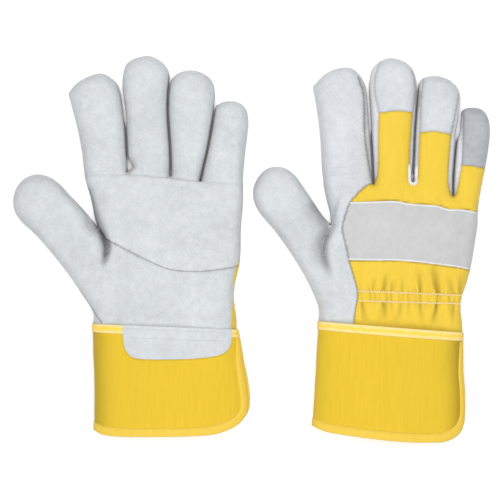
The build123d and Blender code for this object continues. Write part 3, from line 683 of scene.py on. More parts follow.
    def right_of(self, name, points=None):
        """True where a point lies on the little-finger side of a line that runs down the hand."""
        points = self.points if points is None else points
        line = self.lines[name]
        top = line[0][1] + 60
        round_it = [(FAR, line[-1][1]), (FAR, top), (line[0][0], top)]
        return inside(points, np.vstack([line, round_it]))

    def above(self, name, points):
        line = self.lines[name]
        round_it = [(FAR, line[-1][1]), (FAR, FAR), (-FAR, FAR)]
        return inside(points, np.vstack([[(-FAR, line[0][1])], line, round_it]))

    def finger_of(self, points):
        """0 to 3 for index to little, 4 for the thumb, -1 on the hand."""
        g = self.glove
        found = np.full(len(points), -1)
        for i in range(4):
            left = g.gaps[i - 1] if i else [g.knuckles[0], (g.knuckles[0][0] - 30, 150)]
            right = g.gaps[i] if i < 3 else [g.knuckles[4], (g.knuckles[4][0] + 30, 150)]
            found[inside(points, np.array([*left, *reversed(right)]))] = i
        line = self.lines["thumb"]
        found[inside(points, np.vstack([line, [(-FAR, line[-1][1])], [(-FAR, line[0][1])]]))] = 4
        return found

    def normals(self):
        """Normals of the whole shell, so that panels that meet at a seam are shaded as one surface."""
        n = len(self.points)
        self.at = {
            "top": np.column_stack([self.points, self.top]),
            "bottom": np.column_stack([self.points, self.bottom]),
        }
        total = {}
        for face, turn in (("top", 1), ("bottom", -1)):
            p = self.at[face]
            a, b, c = (p[self.faces[:, k]] for k in range(3))
            crossed = np.cross(b - a, c - a) * turn
            made = np.zeros((n, 3))
            for k in range(3):
                for axis in range(3):
                    made[:, axis] += np.bincount(self.faces[:, k], crossed[:, axis], n)
            total[face] = made
        shared = total["top"] + total["bottom"]
        self.out = {}
        for face in total:
            made = np.where(self.rim[:, None], shared, total[face])
            self.out[face] = made / np.maximum(np.linalg.norm(made, axis=1), 1e-9)[:, None]
        self.trees = {
            face: BVHTree.FromPolygons([Vector(q) for q in points], self.faces.tolist())
            for face, points in self.at.items()
        }

    def on_surface(self, x, y, face="top"):
        """The point and outward normal of the shell over a place in plan."""
        z, way = (200, Vector((0, 0, -1))) if face == "top" else (-200, Vector((0, 0, 1)))
        spot, normal, *_ = self.trees[face].ray_cast(Vector((x, y, z)), way)
        if spot is None:
            spot, normal, *_ = self.trees[face].find_nearest(Vector((x, y, EDGE_HEIGHT)))
        return spot, (normal if normal.dot(way) < 0 else -normal)


def panel_names(shell, face):
    """The panel that each triangle of one face of the shell belongs to."""
    g = shell.glove
    middles = shell.points[shell.faces].mean(axis=1)
    digit = shell.finger_of(middles)
    names = np.full(len(middles), "palm_leather", dtype=object)
    palm_face = (face == "top") == g.palm_up
    if palm_face:
        for i, name in enumerate((*FINGERS, "thumb")):
            names[digit == i] = f"{name}_palm"
        for k, line in enumerate(g.wedges):
            x, y = middles[:, 0], middles[:, 1]
            here = shell.right_of(f"wedge_{k}", middles) & (digit < 0) & (y < line[0][1]) & (y > line[-1][1])
            names[here] = np.where(y > -8.5, "knuckle_strap", "wrist_back")[here]
        return names
    cloth = shell.right_of("leather_edge", middles)
    over_top, over_bottom = shell.above("strap_top", middles), shell.above("strap_bottom", middles)
    crotch = min(g.thumb_line, key=lambda q: abs(q[1] - 16.0))
    names[:] = np.where(middles[:, 1] > crotch[1], "index_wing", "thumb_side")
    names[cloth] = "knuckle_strap"
    names[cloth & over_top] = "upper_back"
    names[cloth & ~over_bottom] = "wrist_back"
    names[digit == 4] = "thumb_back"
    names[digit == 0] = "index_back"
    seam = shell.lines["index_seam"]
    over = seam[0][1] + 40
    inner = inside(middles, np.vstack([[(FAR, over), (seam[0][0], over)], seam, [(FAR, seam[-1][1])]]))
    names[(digit == 0) & inner] = "index_palm"
    for i, name in enumerate(FINGERS[1:], start=1):
        left, right = shell.lines[f"strip_{name}_0"], shell.lines[f"strip_{name}_1"]
        between = inside(middles, np.vstack([left, right[::-1]]))
        over_cap = shell.above(f"cap_{name}", middles)
        here = digit == i
        names[here] = f"{name}_sides"
        names[here & between] = f"{name}_back_strip"
        tip = between if not g.palm_up else np.ones(len(between), bool)
        names[here & over_cap & tip] = f"{name}_tip"
    return names


# ---- making pieces ---------------------------------------------------------------------------------------


def new_object(name, bm, normals=None, smooth=True):
    bmesh.ops.recalc_face_normals(bm, faces=bm.faces[:])
    for f in bm.faces:
        f.smooth = smooth
    mesh = bpy.data.meshes.new(name)
    bm.to_mesh(mesh)
    bm.free()
    if normals is not None:
        mesh.normals_split_custom_set_from_vertices([Vector(n) for n in normals])
    obj = bpy.data.objects.new(name, mesh)
    bpy.context.scene.collection.objects.link(obj)
    return obj


def walled(name, outer, faces, out, thickness, shade=None):
    """A closed piece from a skin of triangles: the skin, a second one further in, and a rim between them."""
    used, faces = np.unique(faces, return_inverse=True)
    faces, outer, out = faces.reshape(-1, 3), outer[used], out[used]
    depth = np.full(len(outer), float(thickness)) if np.ndim(thickness) == 0 else thickness[used]
    bm = bmesh.new()
    tag = bm.verts.layers.int.new("point")
    verts = [bm.verts.new(Vector(p) * MM) for p in outer]
    for i, v in enumerate(verts):
        v[tag] = i + 1
    for f in faces:
        bm.faces.new([verts[i] for i in f])
    grown = bmesh.ops.extrude_face_region(bm, geom=bm.faces[:], use_keep_orig=True)
    skin = {v for v in grown["geom"] if isinstance(v, bmesh.types.BMVert)}
    normals = [None] * len(bm.verts)
    bm.verts.index_update()
    for v in bm.verts:
        i = v[tag] - 1
        n = Vector(out[i])
        if v not in skin:
            v.co -= n * float(depth[i]) * MM
            n = -n
        normals[v.index] = n
    dark = [float(shade[used[v[tag] - 1]]) if shade is not None else 0.0 for v in bm.verts]
    obj = new_object(name, bm, normals)
    # the painted shade of each point, which the material darkens the colour by
    obj.data.attributes.new("painted_shade", "FLOAT", "POINT").data.foreach_set("value", dark)
    return obj


def tube(name, path, radius, sides=8):
    """A round cord along a path of points, in millimetres."""
    path = [Vector(p) for p in path]
    bm = bmesh.new()
    rings = []
    for i, p in enumerate(path):
        way = (path[min(i + 1, len(path) - 1)] - path[max(i - 1, 0)]).normalized()
        turn = way.to_track_quat("Z", "Y").to_matrix().to_4x4()
        place = Matrix.Translation(p * MM) @ turn
        rings.append(bmesh.ops.create_circle(bm, segments=sides, radius=radius * MM, matrix=place)["verts"])
    for one, two in zip(rings, rings[1:]):
        # the rings are matched at the nearest point, so that the cord doesn't twist
        shift = min(range(sides), key=lambda s: (one[0].co - two[s].co).length)
        for k in range(sides):
            j = k + 1
            bm.faces.new([one[k], one[j % sides], two[(j + shift) % sides], two[(k + shift) % sides]])
    for ring in (rings[0], rings[-1]):
        bm.faces.new(ring)
    return new_object(name, bm)


def stitches(name, places, length, width, height=0.35):
    """Short raised stitches, in millimetres; each has its point, its direction and the surface's normal."""
    bm = bmesh.new()
    for spot, way, normal in places:
        way = (way - normal * way.dot(normal)).normalized()
        across = normal.cross(way)
        turn = Matrix((way, across, normal)).transposed().to_4x4()
        size = Matrix.Diagonal((length / 2 * MM, width / 2 * MM, height * MM, 1))
        place = Matrix.Translation((spot + normal * height * 0.35) * MM) @ turn @ size
        bmesh.ops.create_uvsphere(bm, u_segments=6, v_segments=4, radius=1, matrix=place)
    return new_object(name, bm)


def row_of(shell, line, pitch, face="top"):
    """Places for stitches along a line in plan, on the shell."""
    pts = smooth_line(line, 0.5)
    gone = length_along(pts)
    made = []
    for s in np.arange(pitch / 2, gone[-1], pitch):
        x, y = np.interp(s, gone, pts[:, 0]), np.interp(s, gone, pts[:, 1])
        x2, y2 = np.interp(s + 0.5, gone, pts[:, 0]), np.interp(s + 0.5, gone, pts[:, 1])
        if not inside(np.array([(x, y)]), shell.outline)[0]:
            continue
        spot, normal = shell.on_surface(x, y, face)
        way = Vector((x2 - x, y2 - y, 0))
        if way.length > 1e-6:
            made.append((spot, way, normal))
    return made


# ---- materials -------------------------------------------------------------------------------------------


def group(name, inputs, outputs):
    made = bpy.data.node_groups.new(name, "ShaderNodeTree")
    for kind, socket, value in inputs:
        s = made.interface.new_socket(name=socket, in_out="INPUT", socket_type=kind)
        if value is not None:
            s.default_value = value
    for kind, socket in outputs:
        made.interface.new_socket(name=socket, in_out="OUTPUT", socket_type=kind)
    return made, made.nodes.new("NodeGroupInput"), made.nodes.new("NodeGroupOutput")


def fractal(tree, place, scale, detail, roughness=0.5, distortion=0.0):
    """A noise texture read at a place; gives its value."""
    settings = {"Scale": scale, "Detail": detail, "Roughness": roughness, "Distortion": distortion}
    return node(tree, "ShaderNodeTexNoise", [("Vector", place)], **settings).outputs["Fac"]


def node(tree, kind, links=(), **values):
    """A node with its settings and values; links are (input, output socket) pairs."""
    made = tree.nodes.new(kind)
    for key, value in values.items():
        if hasattr(made, key):
            setattr(made, key, value)
        else:
            made.inputs[key.replace("_", " ")].default_value = value
    for where, source in links:
        tree.links.new(source, made.inputs[where])
    return made


def ramp(tree, source, stops):
    made = node(tree, "ShaderNodeValToRGB", [("Fac", source)])
    band = made.color_ramp
    while len(band.elements) < len(stops):
        band.elements.new(0.5)
    for element, (place, color) in zip(band.elements, stops):
        element.position = place
        element.color = (*color, 1)
    return made.outputs["Color"]


def linear(r, g, b):
    """A colour given in 0 to 255 as it appears, as scene-linear values."""
    shares = [c / 255 for c in (r, g, b)]
    return tuple(c / 12.92 if c <= 0.04045 else ((c + 0.055) / 1.055) ** 2.4 for c in shares)


def nap_group():
    """Suede: cloudy tone, short fibres that lie one way or another, and a fine grain."""
    tree, given, gives = group(
        "suede_nap",
        [("NodeSocketVector", "Place", None), ("NodeSocketFloat", "Grain", 0.35)],
        [("NodeSocketFloat", "Tone"), ("NodeSocketVector", "Normal")],
    )
    place = given.outputs["Place"]
    cloud = fractal(tree, place, 38.0, 4.0, 0.6)
    patchy = fractal(tree, place, 210.0, 5.0, 0.65)
    fibre = fractal(tree, place, 1500.0, 5.0, 0.75, 1.2)
    broad = node(tree, "ShaderNodeMath", [(0, cloud), (1, patchy)], operation="ADD")
    mixed = node(tree, "ShaderNodeMath", [(0, fibre), (2, broad.outputs[0])], operation="MULTIPLY_ADD")
    mixed.inputs[1].default_value = 2.6
    tone = node(tree, "ShaderNodeMapRange", [("Value", mixed.outputs[0])])
    tone.inputs["From Min"].default_value, tone.inputs["From Max"].default_value = 1.55, 3.05
    links = [("Height", fibre), ("Strength", given.outputs["Grain"])]
    bump = node(tree, "ShaderNodeBump", links, Distance=0.0005)
    links = [("Height", patchy), ("Normal", bump.outputs["Normal"])]
    soft = node(tree, "ShaderNodeBump", links, Strength=0.18, Distance=0.001)
    tree.links.new(tone.outputs["Result"], gives.inputs["Tone"])
    tree.links.new(soft.outputs["Normal"], gives.inputs["Normal"])
    return tree


def weave_group():
    """Cloth: fine diagonal ribs of a twill, uneven threads, and streaks along the warp."""
    tree, given, gives = group(
        "cloth_weave",
        [
            ("NodeSocketVector", "Place", None),
            ("NodeSocketFloat", "Ribs", 900.0),
            ("NodeSocketFloat", "Relief", 0.3),
            ("NodeSocketFloat", "Turn", 0.6),
        ],
        [("NodeSocketFloat", "Rib"), ("NodeSocketFloat", "Streak"), ("NodeSocketVector", "Normal")],
    )
    place = given.outputs["Place"]
    links = [("Vector", place), ("Angle", given.outputs["Turn"])]
    turned = node(tree, "ShaderNodeVectorRotate", links, rotation_type="Z_AXIS")
    links = [("Vector", turned.outputs["Vector"]), ("Scale", given.outputs["Ribs"])]
    wave = node(tree, "ShaderNodeTexWave", links, Distortion=0.6, Detail=1.0)
    stretched = node(tree, "ShaderNodeVectorMath", [(0, place)], operation="MULTIPLY")
    stretched.inputs[1].default_value = (1.0, 0.06, 1.0)
    streak = fractal(tree, stretched.outputs[0], 700.0, 3.0, 0.6)
    knots = fractal(tree, place, 1800.0, 2.0)
    threads = node(tree, "ShaderNodeMath", [(0, wave.outputs["Fac"]), (1, knots)], operation="ADD")
    links = [("Height", threads.outputs[0]), ("Strength", given.outputs["Relief"])]
    bump = node(tree, "ShaderNodeBump", links, Distance=0.0004)
    tree.links.new(wave.outputs["Fac"], gives.inputs["Rib"])
    tree.links.new(streak, gives.inputs["Streak"])
    tree.links.new(bump.outputs["Normal"], gives.inputs["Normal"])
    return tree


SUEDE_NAP, CLOTH_WEAVE = nap_group(), weave_group()


def begin_material(name, roughness, sheen=0.0):
    mat = bpy.data.materials.new(name)
    mat.use_nodes = True
    tree = mat.node_tree
    shader = tree.nodes["Principled BSDF"]
    shader.inputs["Roughness"].default_value = roughness
    shader.inputs["Specular IOR Level"].default_value = 0.25
    shader.inputs["Sheen Weight"].default_value = sheen
    shader.inputs["Sheen Roughness"].default_value = 0.5
    place = node(tree, "ShaderNodeTexCoord").outputs["Object"]
    return mat, tree, shader, place


def darkened(tree, color):
    """A colour, darkened by the piece's painted-shade attribute: painted shade in seams, folds, creases,
    between the fingers and along the cuff's sides.
    """
    painted_shade = node(tree, "ShaderNodeAttribute", attribute_name="painted_shade")
    mix = node(tree, "ShaderNodeMix", data_type="RGBA", blend_type="MULTIPLY")
    amount = node(tree, "ShaderNodeMath", [(0, painted_shade.outputs["Fac"])], operation="MULTIPLY")
    amount.inputs[1].default_value = PAINTED_SHADE_SHARE
    tree.links.new(amount.outputs[0], mix.inputs["Factor"])
    tree.links.new(color, mix.inputs[6])
    # the colour of the painted shade
    mix.inputs[7].default_value = (0.04, 0.04, 0.045, 1)
    return mix.outputs[2]


def suede(name, dark, light, grain=0.35, sheen=0.15):
    mat, tree, shader, place = begin_material(name, 0.92, sheen)
    nap = node(tree, "ShaderNodeGroup", node_tree=SUEDE_NAP)
    tree.links.new(place, nap.inputs["Place"])
    nap.inputs["Grain"].default_value = grain
    paint = ramp(tree, nap.outputs["Tone"], [(0.15, linear(*dark)), (0.85, linear(*light))])
    tree.links.new(darkened(tree, paint), shader.inputs["Base Color"])
    tree.links.new(nap.outputs["Normal"], shader.inputs["Normal"])
    return mat


def cloth(name, dark, light, ribs=900.0, relief=0.3, turn=0.6, streaks=0.5):
    mat, tree, shader, place = begin_material(name, 0.85, 0.1)
    weave = node(tree, "ShaderNodeGroup", node_tree=CLOTH_WEAVE)
    tree.links.new(place, weave.inputs["Place"])
    for key, value in (("Ribs", ribs), ("Relief", relief), ("Turn", turn)):
        weave.inputs[key].default_value = value
    links = [("A", weave.outputs["Rib"]), ("B", weave.outputs["Streak"])]
    mixed = node(tree, "ShaderNodeMix", links, Factor=streaks)
    paint = ramp(tree, mixed.outputs[0], [(0.25, linear(*dark)), (0.75, linear(*light))])
    tree.links.new(darkened(tree, paint), shader.inputs["Base Color"])
    tree.links.new(weave.outputs["Normal"], shader.inputs["Normal"])
    return mat


def banded(name, edge, middle):
    """The wrist tape: pale cord along both edges and a darker middle, read from the tape's own UV map."""
    mat, tree, shader, place = begin_material(name, 0.85)
    across = node(tree, "ShaderNodeUVMap", uv_map="tape")
    split = node(tree, "ShaderNodeSeparateXYZ", [("Vector", across.outputs["UV"])])
    off = node(tree, "ShaderNodeMath", [(0, split.outputs["Y"])], operation="SUBTRACT")
    off.inputs[1].default_value = 0.5
    far = node(tree, "ShaderNodeMath", [(0, off.outputs[0])], operation="ABSOLUTE")
    grain = fractal(tree, place, 620.0, 2.0)
    rough = node(tree, "ShaderNodeMath", [(0, grain), (2, far.outputs[0])], operation="MULTIPLY_ADD")
    rough.inputs[1].default_value = 0.9
    stops = [(0.50, linear(*middle)), (0.66, linear(*edge)), (0.95, linear(*edge))]
    tree.links.new(ramp(tree, rough.outputs[0], stops), shader.inputs["Base Color"])
    bump = node(tree, "ShaderNodeBump", [("Height", grain)], Strength=0.3, Distance=0.0004)
    tree.links.new(bump.outputs["Normal"], shader.inputs["Normal"])
    return mat


MATERIALS = {
    "suede_leather": suede("suede_leather", (174, 178, 181), (205, 209, 212)),
    "leather_back": suede("suede_leather_back", (178, 181, 185), (207, 210, 214), grain=0.3),
    "leather_tip": suede("suede_leather_tip", (145, 149, 153), (180, 184, 188), grain=0.5),
    "strap_leather": suede("strap_leather", (174, 174, 174), (191, 191, 191), grain=0.15),
    "yellow_drill": cloth("yellow_drill", (213, 179, 50), (231, 199, 72)),
    "cuff_canvas": cloth("cuff_canvas", (204, 170, 36), (221, 187, 50), ribs=650.0, turn=0.0, streaks=0.55),
    "binding_cloth": cloth("binding_cloth", (214, 178, 60), (227, 194, 76), ribs=1100.0, relief=0.2),
    "cream_tape": banded("cream_tape", (229, 206, 134), (232, 195, 62)),
    "seam_thread": suede("seam_thread", (219, 200, 152), (229, 214, 176), grain=0.1, sheen=0.0),
    "pale_thread": suede("pale_thread", (178, 182, 186), (205, 209, 212), grain=0.1, sheen=0.0),
    "fleece_lining": suede("fleece_lining", (200, 196, 182), (218, 214, 202), grain=0.7),
    "elastic_web": cloth("elastic_web", (200, 199, 194), (215, 215, 211), ribs=500.0),
    # pale leather of the welts and pipings, also used as painted light on the right glove's finger side walls
    "welt_and_lit_side_leather": suede("welt_and_lit_side_leather", (203, 205, 209), (216, 218, 222), grain=0.1),
}


def finish_as(obj, material):
    obj.data.materials.clear()
    obj.data.materials.append(MATERIALS[material])


# ---- a glove's pieces ------------------------------------------------------------------------------------


def attach(obj, glove, digit=None):
    """Lets a piece follow its hand; a digit's piece only has its placement baked into its mesh."""
    if digit is None:
        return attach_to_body(obj, f"{glove.side}_hand")
    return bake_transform(obj)


def stand_in(obj, glove, name, material, digit=None):
    """Paints a piece, ties it to its hand's body unless it belongs to a digit, and lets it stand for its CAD
    piece, which it hides.
    """
    finish_as(obj, material)
    attach(obj, glove, digit)
    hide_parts(f"{glove.side}_{name}")


def digit_of_piece(name):
    if name in ("index_wing", "thumb_side"):
        return None
    for i, digit in enumerate((*FINGERS, "thumb")):
        if name.startswith(digit + "_"):
            return i
    return None


PANEL_SLOT = {
    "upper_back": "yellow_drill",
    "wrist_back": "yellow_drill",
    "knuckle_strap": "strap_leather",
}


def strap_lift(shell):
    """The strap stands proud of the cloth, with round edges."""
    edge = np.min([shell.off(name) for name in ("strap_top", "strap_bottom", "leather_edge")], axis=0)
    return 1.1 * rounded(edge / 1.4) * np.clip(shell.crown * 1.6 - 0.4, 0, 1)


def hand_panels(shell):
    g = shell.glove
    parts = {}
    for face in ("top", "bottom"):
        names = panel_names(shell, face)
        for name in sorted(set(names)):
            faces = shell.faces[names == name]
            if len(faces) < 12:
                continue
            parts.setdefault(name, []).append((face, faces if face == "top" else faces[:, ::-1]))
    count = len(shell.points)
    lift = strap_lift(shell)
    for name, sheets in parts.items():
        outer = np.vstack([shell.at["top"], shell.at["bottom"]])
        out = np.vstack([shell.out["top"], shell.out["bottom"]])
        if name == "knuckle_strap":
            outer = outer + out * np.concatenate([lift, lift])[:, None]
        faces = np.vstack([f + (0 if face == "top" else count) for face, f in sheets])
        # the two faces share their points along the outline
        same = np.arange(2 * count)
        same[count:][shell.rim] = np.arange(count)[shell.rim]
        faces = same[faces]
        slot = PANEL_SLOT.get(name, "yellow_drill" if name.endswith("back_strip") else "suede_leather")
        material = slot
        if slot == "suede_leather" and (name.endswith("_tip") or name in ("index_back", "index_wing")):
            material = "leather_back" if name != "little_tip" else "leather_tip"
        # painted light: the right glove's finger side walls take the paler welt leather, against the shade
        # their slope gets
        if name.endswith("_sides") and not g.palm_up:
            material = "welt_and_lit_side_leather"
        shade = np.concatenate([shell.shade["top"], shell.shade["bottom"]])
        thickness = CLOTH if slot == "yellow_drill" else LEATHER - 0.2
        obj = walled(f"soft_{g.side}_{name}", outer, faces, out, thickness, shade)
        stand_in(obj, g, name, material, digit_of_piece(name))


def palm_overlay(shell):
    """The second layer of leather across the palm, with rounded edges."""
    g = shell.glove
    face = "top" if g.palm_up else "bottom"
    middles = shell.points[shell.faces].mean(axis=1)
    digit = shell.finger_of(middles)
    here = (digit < 0) & ~shell.above("patch_top", middles) & shell.above("patch_bottom", middles)
    if g.wedges:
        here &= ~(shell.right_of("wedge_0", middles) & (middles[:, 1] < g.wedges[0][0][1]))
    faces = shell.faces[here]
    edge = np.min([shell.off(name) for name in ("patch_top", "patch_bottom", "thumb")], axis=0)
    lift = 0.15 + 0.95 * rounded(edge / 1.0) * np.clip(shell.crown * 2 - 0.8, 0, 1)
    outer = shell.at[face] + shell.out[face] * lift[:, None]
    if face == "bottom":
        faces = faces[:, ::-1]
    obj = walled(f"soft_{g.side}_palm_patch", outer, faces, shell.out[face], lift + 0.3, shell.shade[face])
    stand_in(obj, g, "palm_patch", "suede_leather")


def inner_layers(shell):
    """The fleece behind the palm and the elastic behind the gathered wrist, both inside the hand."""
    g = shell.glove
    middles = shell.points[shell.faces].mean(axis=1)
    digit = shell.finger_of(middles)
    deep = from_line(middles, shell.outline, closed=True)[0]
    palm, back = ("top", "bottom") if g.palm_up else ("bottom", "top")
    upper, lower = (row(middles[:, 0]) for row in shell.gather_rows())
    web = shell.right_of("leather_edge", middles) & (middles[:, 1] < upper + 1) & (middles[:, 1] > lower - 1)
    for name, face, here, depth, material in (
        ("palm_lining", palm, (digit < 0) & (deep > 5), 2.2, "fleece_lining"),
        ("wrist_elastic", back, web & (deep > 4), 2.2, "elastic_web"),
    ):
        faces = shell.faces[here]
        outer = shell.at[face] - shell.out[face] * depth
        if face == "bottom":
            faces = faces[:, ::-1]
        obj = walled(f"soft_{g.side}_{name}", outer, faces, shell.out[face], 0.9)
        stand_in(obj, g, name, material)


def strap_pipings(shell):
    """A cord along each edge of the knuckle strap, as one piece."""
    g = shell.glove
    face = "bottom" if g.palm_up else "top"
    cords = []
    for k, name in enumerate(("strap_top", "strap_bottom")):
        path = []
        line = shell.lines[name]
        deep = from_line(line, shell.outline, closed=True)[0]
        for x, y in line[inside(line, shell.outline) & (deep > 0.9)]:
            spot, normal = shell.on_surface(x, y, face)
            path.append(spot + normal * 0.25)
        cords.append(tube(f"{g.side}_piping_{k}", path, 0.75))
    with_both = bmesh.new()
    for cord in cords:
        with_both.from_mesh(cord.data)
        bpy.data.objects.remove(cord)
    obj = new_object(f"soft_{g.side}_strap_piping", with_both)
    stand_in(obj, g, "strap_piping", "welt_and_lit_side_leather")


# ---- the cuff --------------------------------------------------------------------------------------------


class Cuff:
    """The stiff cuff: a flat tube, open along a slit on the little-finger side. A place on it is how far
    round it lies, from the slit over the upper layer and back under the lower one, and how far down from
    the wrist."""

    POWER = 2.3  # how square the tube's section is: 2 is an ellipse

    def __init__(self, glove):
        self.glove = glove
        self.left = smooth_line(glove.cuff_left, 1.0)
        self.right = smooth_line(glove.cuff_right, 1.0)
        self.hem = smooth_line(glove.hem, 1.0)
        first, last = np.array(glove.cuff_left[0]), np.array(glove.cuff_left[-1])
        self.length = float(np.linalg.norm(last - first))
        turn = np.linspace(0, 2 * pi, 721)
        ways = [np.cos(turn), np.sin(turn)]
        self.ring = np.stack([np.sign(way) * np.abs(way) ** (2 / self.POWER) for way in ways], axis=1)

    def side_points(self, down):
        """The two edges of the cuff in plan, a share of the way down."""
        made = []
        for line in (self.left, self.right):
            gone = length_along(line)
            s = down * gone[-1]
            made.append(np.array([np.interp(s, gone, line[:, 0]), np.interp(s, gone, line[:, 1])]))
        return made

    def girth(self, down):
        """Length round the cuff, in millimetres."""
        return self._ring(down)[1][-1]

    def _ring(self, down):
        left, right = self.side_points(down)
        half = np.linalg.norm(right - left) / 2
        flare = CUFF_HEM_THICKNESS - CUFF_TOP_THICKNESS
        thick = CUFF_TOP_THICKNESS + flare * min(max(down, 0), 1)
        ring = self.ring * [half, thick / 2]
        gone = length_along(ring)
        return ring, gone, left, right, thick

    def point(self, round_, down, proud=0.0):
        """A point on the cuff, in millimetres: round_ is a share of the girth, down a share of the length."""
        ring, gone, left, right, thick = self._ring(down)
        s = (round_ % 1.0) * gone[-1]
        u, z = np.interp(s, gone, ring[:, 0]), np.interp(s, gone, ring[:, 1])
        i = min(max(int(np.searchsorted(gone, s)), 1), len(gone) - 1)
        tangent = ring[i] - ring[i - 1]
        n = np.array([tangent[1], -tangent[0]]) / max(np.linalg.norm(tangent), 1e-9)
        middle, across = (left + right) / 2, (right - left) / np.linalg.norm(right - left)
        along = np.array([across[1], -across[0]])
        u, z = u + n[0] * proud, z + n[1] * proud
        share = (u / (np.linalg.norm(right - left) / 2) + 1) / 2
        sag = self.bow(share) * down
        x, y = middle + across * u + along * sag
        return Vector((x, y, z + thick / 2 + CUFF_BASE))

    def bow(self, share):
        """How far the hem runs below the straight line between its ends."""
        a, b = self.hem[0], self.hem[-1]
        across = (b - a) / np.linalg.norm(b - a)
        t = (self.hem - a) @ across / np.linalg.norm(b - a)
        off = (self.hem - a) @ np.array([across[1], -across[0]])
        return float(np.interp(share, t, off))

    def slit(self, down):
        """How far the upper layer's edge lies in from the side of the cuff, in millimetres round the cuff."""
        return self.glove.slit * sin(pi * min(max((down - 0.08) / 0.92, 0), 1)) ** 1.2 - 0.6

    def hem_at(self, distance):
        """How far down the hem lies near a rounded corner, a distance in from the slit."""
        along, up = self.glove.corner
        t = 1 - min(distance / along, 1)
        return self.length - up * (1 - (1 - t**CORNER_POWER) ** (1 / CORNER_POWER))


def cuff_edge(cuff):
    """The cuff's free edge as (round, down) places: down the slit's upper edge, the hem, the lower edge."""

    def corner(a):
        """How far along and up a rounded corner an angle lies, as shares of its size."""
        return (turn ** (2 / CORNER_POWER) for turn in (abs(cos(a)), sin(a)))

    places = []
    length, (along, up) = cuff.length, cuff.glove.corner
    girth = cuff.girth(1.0)
    for v in np.arange(0.09 * length, length - up, 2.0):
        places.append((cuff.slit(v / length) / cuff.girth(v / length), v / length))
    for a in np.linspace(0, pi / 2, 24):
        t, rise = corner(a)
        v = length - up * (1 - rise)
        places.append(((cuff.slit(v / length) + along * (1 - t)) / girth, v / length))
    start, end = places[-1][0], 1 - (along + 0.5) / girth
    n = int((end - start) * girth / 2.0)
    places += [(start + (end - start) * k / n, 1.0) for k in range(1, n + 1)]
    for a in np.linspace(pi / 2, 0, 24)[1:]:
        t, rise = corner(a)
        places.append((1 - (along * (1 - t) + 0.5) / girth, 1 - up * (1 - rise) / length))
    for v in np.arange(length - up, 0.09 * length, -2.0)[1:]:
        places.append((1 - 0.5 / cuff.girth(v / length), v / length))
    return places


def make_cuff(cuff):
    """The cuff's canvas: rows from the wrist to the hem, which curves up to the slit at both ends."""
    g = cuff.glove
    length = cuff.length
    bm = bmesh.new()
    columns, rows = 150, 44
    # columns closer together near the slit
    even = np.linspace(0, 1, columns + 1)
    shares = (1 - np.cos(np.linspace(0, pi, columns + 1))) / 2 * 0.35 + even * 0.65
    verts, dark = {}, []
    for i, c in enumerate(shares):
        inner = min(c, 1 - c) * cuff.girth(1.0)
        hem = cuff.hem_at(inner) / length
        for j in range(rows + 1):
            down = hem * j / rows
            lo = cuff.slit(down) / cuff.girth(down) if down > 0.05 else 0.0
            hi = 1 - 0.5 / cuff.girth(down)
            place = lo + (hi - lo) * c
            wave = 0.25 * noise.noise(Vector((place * 9, down * 4, 3)))
            verts[i, j, 0] = bm.verts.new(cuff.point(place, down, wave) * MM)
            verts[i, j, 1] = bm.verts.new(cuff.point(place, down, wave - CUFF_WALL) * MM)
            # painted shade along the canvas's sides, where the tube turns away, most on the side away from
            # the other glove
            off = [abs(verts[i, j, 0].co.x / MM - side[0]) for side in cuff.side_points(down)]
            away, near = off if g.palm_up else reversed(off)
            side_shade = CUFF_SIDE_SHADE[g.side] * exp(-((away / SIDE_SHADE_WIDTH) ** 2))
            dark += [side_shade + 0.08 * exp(-((near / SIDE_SHADE_WIDTH) ** 2))] * 2
    for i in range(columns):
        for j in range(rows):
            for k in (0, 1):
                bm.faces.new([verts[i, j, k], verts[i + 1, j, k], verts[i + 1, j + 1, k], verts[i, j + 1, k]])
        for j in (0, rows):
            bm.faces.new([verts[i, j, 0], verts[i + 1, j, 0], verts[i + 1, j, 1], verts[i, j, 1]])
    for j in range(rows):
        for i in (0, columns):
            bm.faces.new([verts[i, j, 0], verts[i, j + 1, 0], verts[i, j + 1, 1], verts[i, j, 1]])
    obj = new_object(f"soft_{g.side}_cuff", bm)
    obj.data.attributes.new("painted_shade", "FLOAT", "POINT").data.foreach_set("value", dark)
    stand_in(obj, g, "cuff", "cuff_canvas")


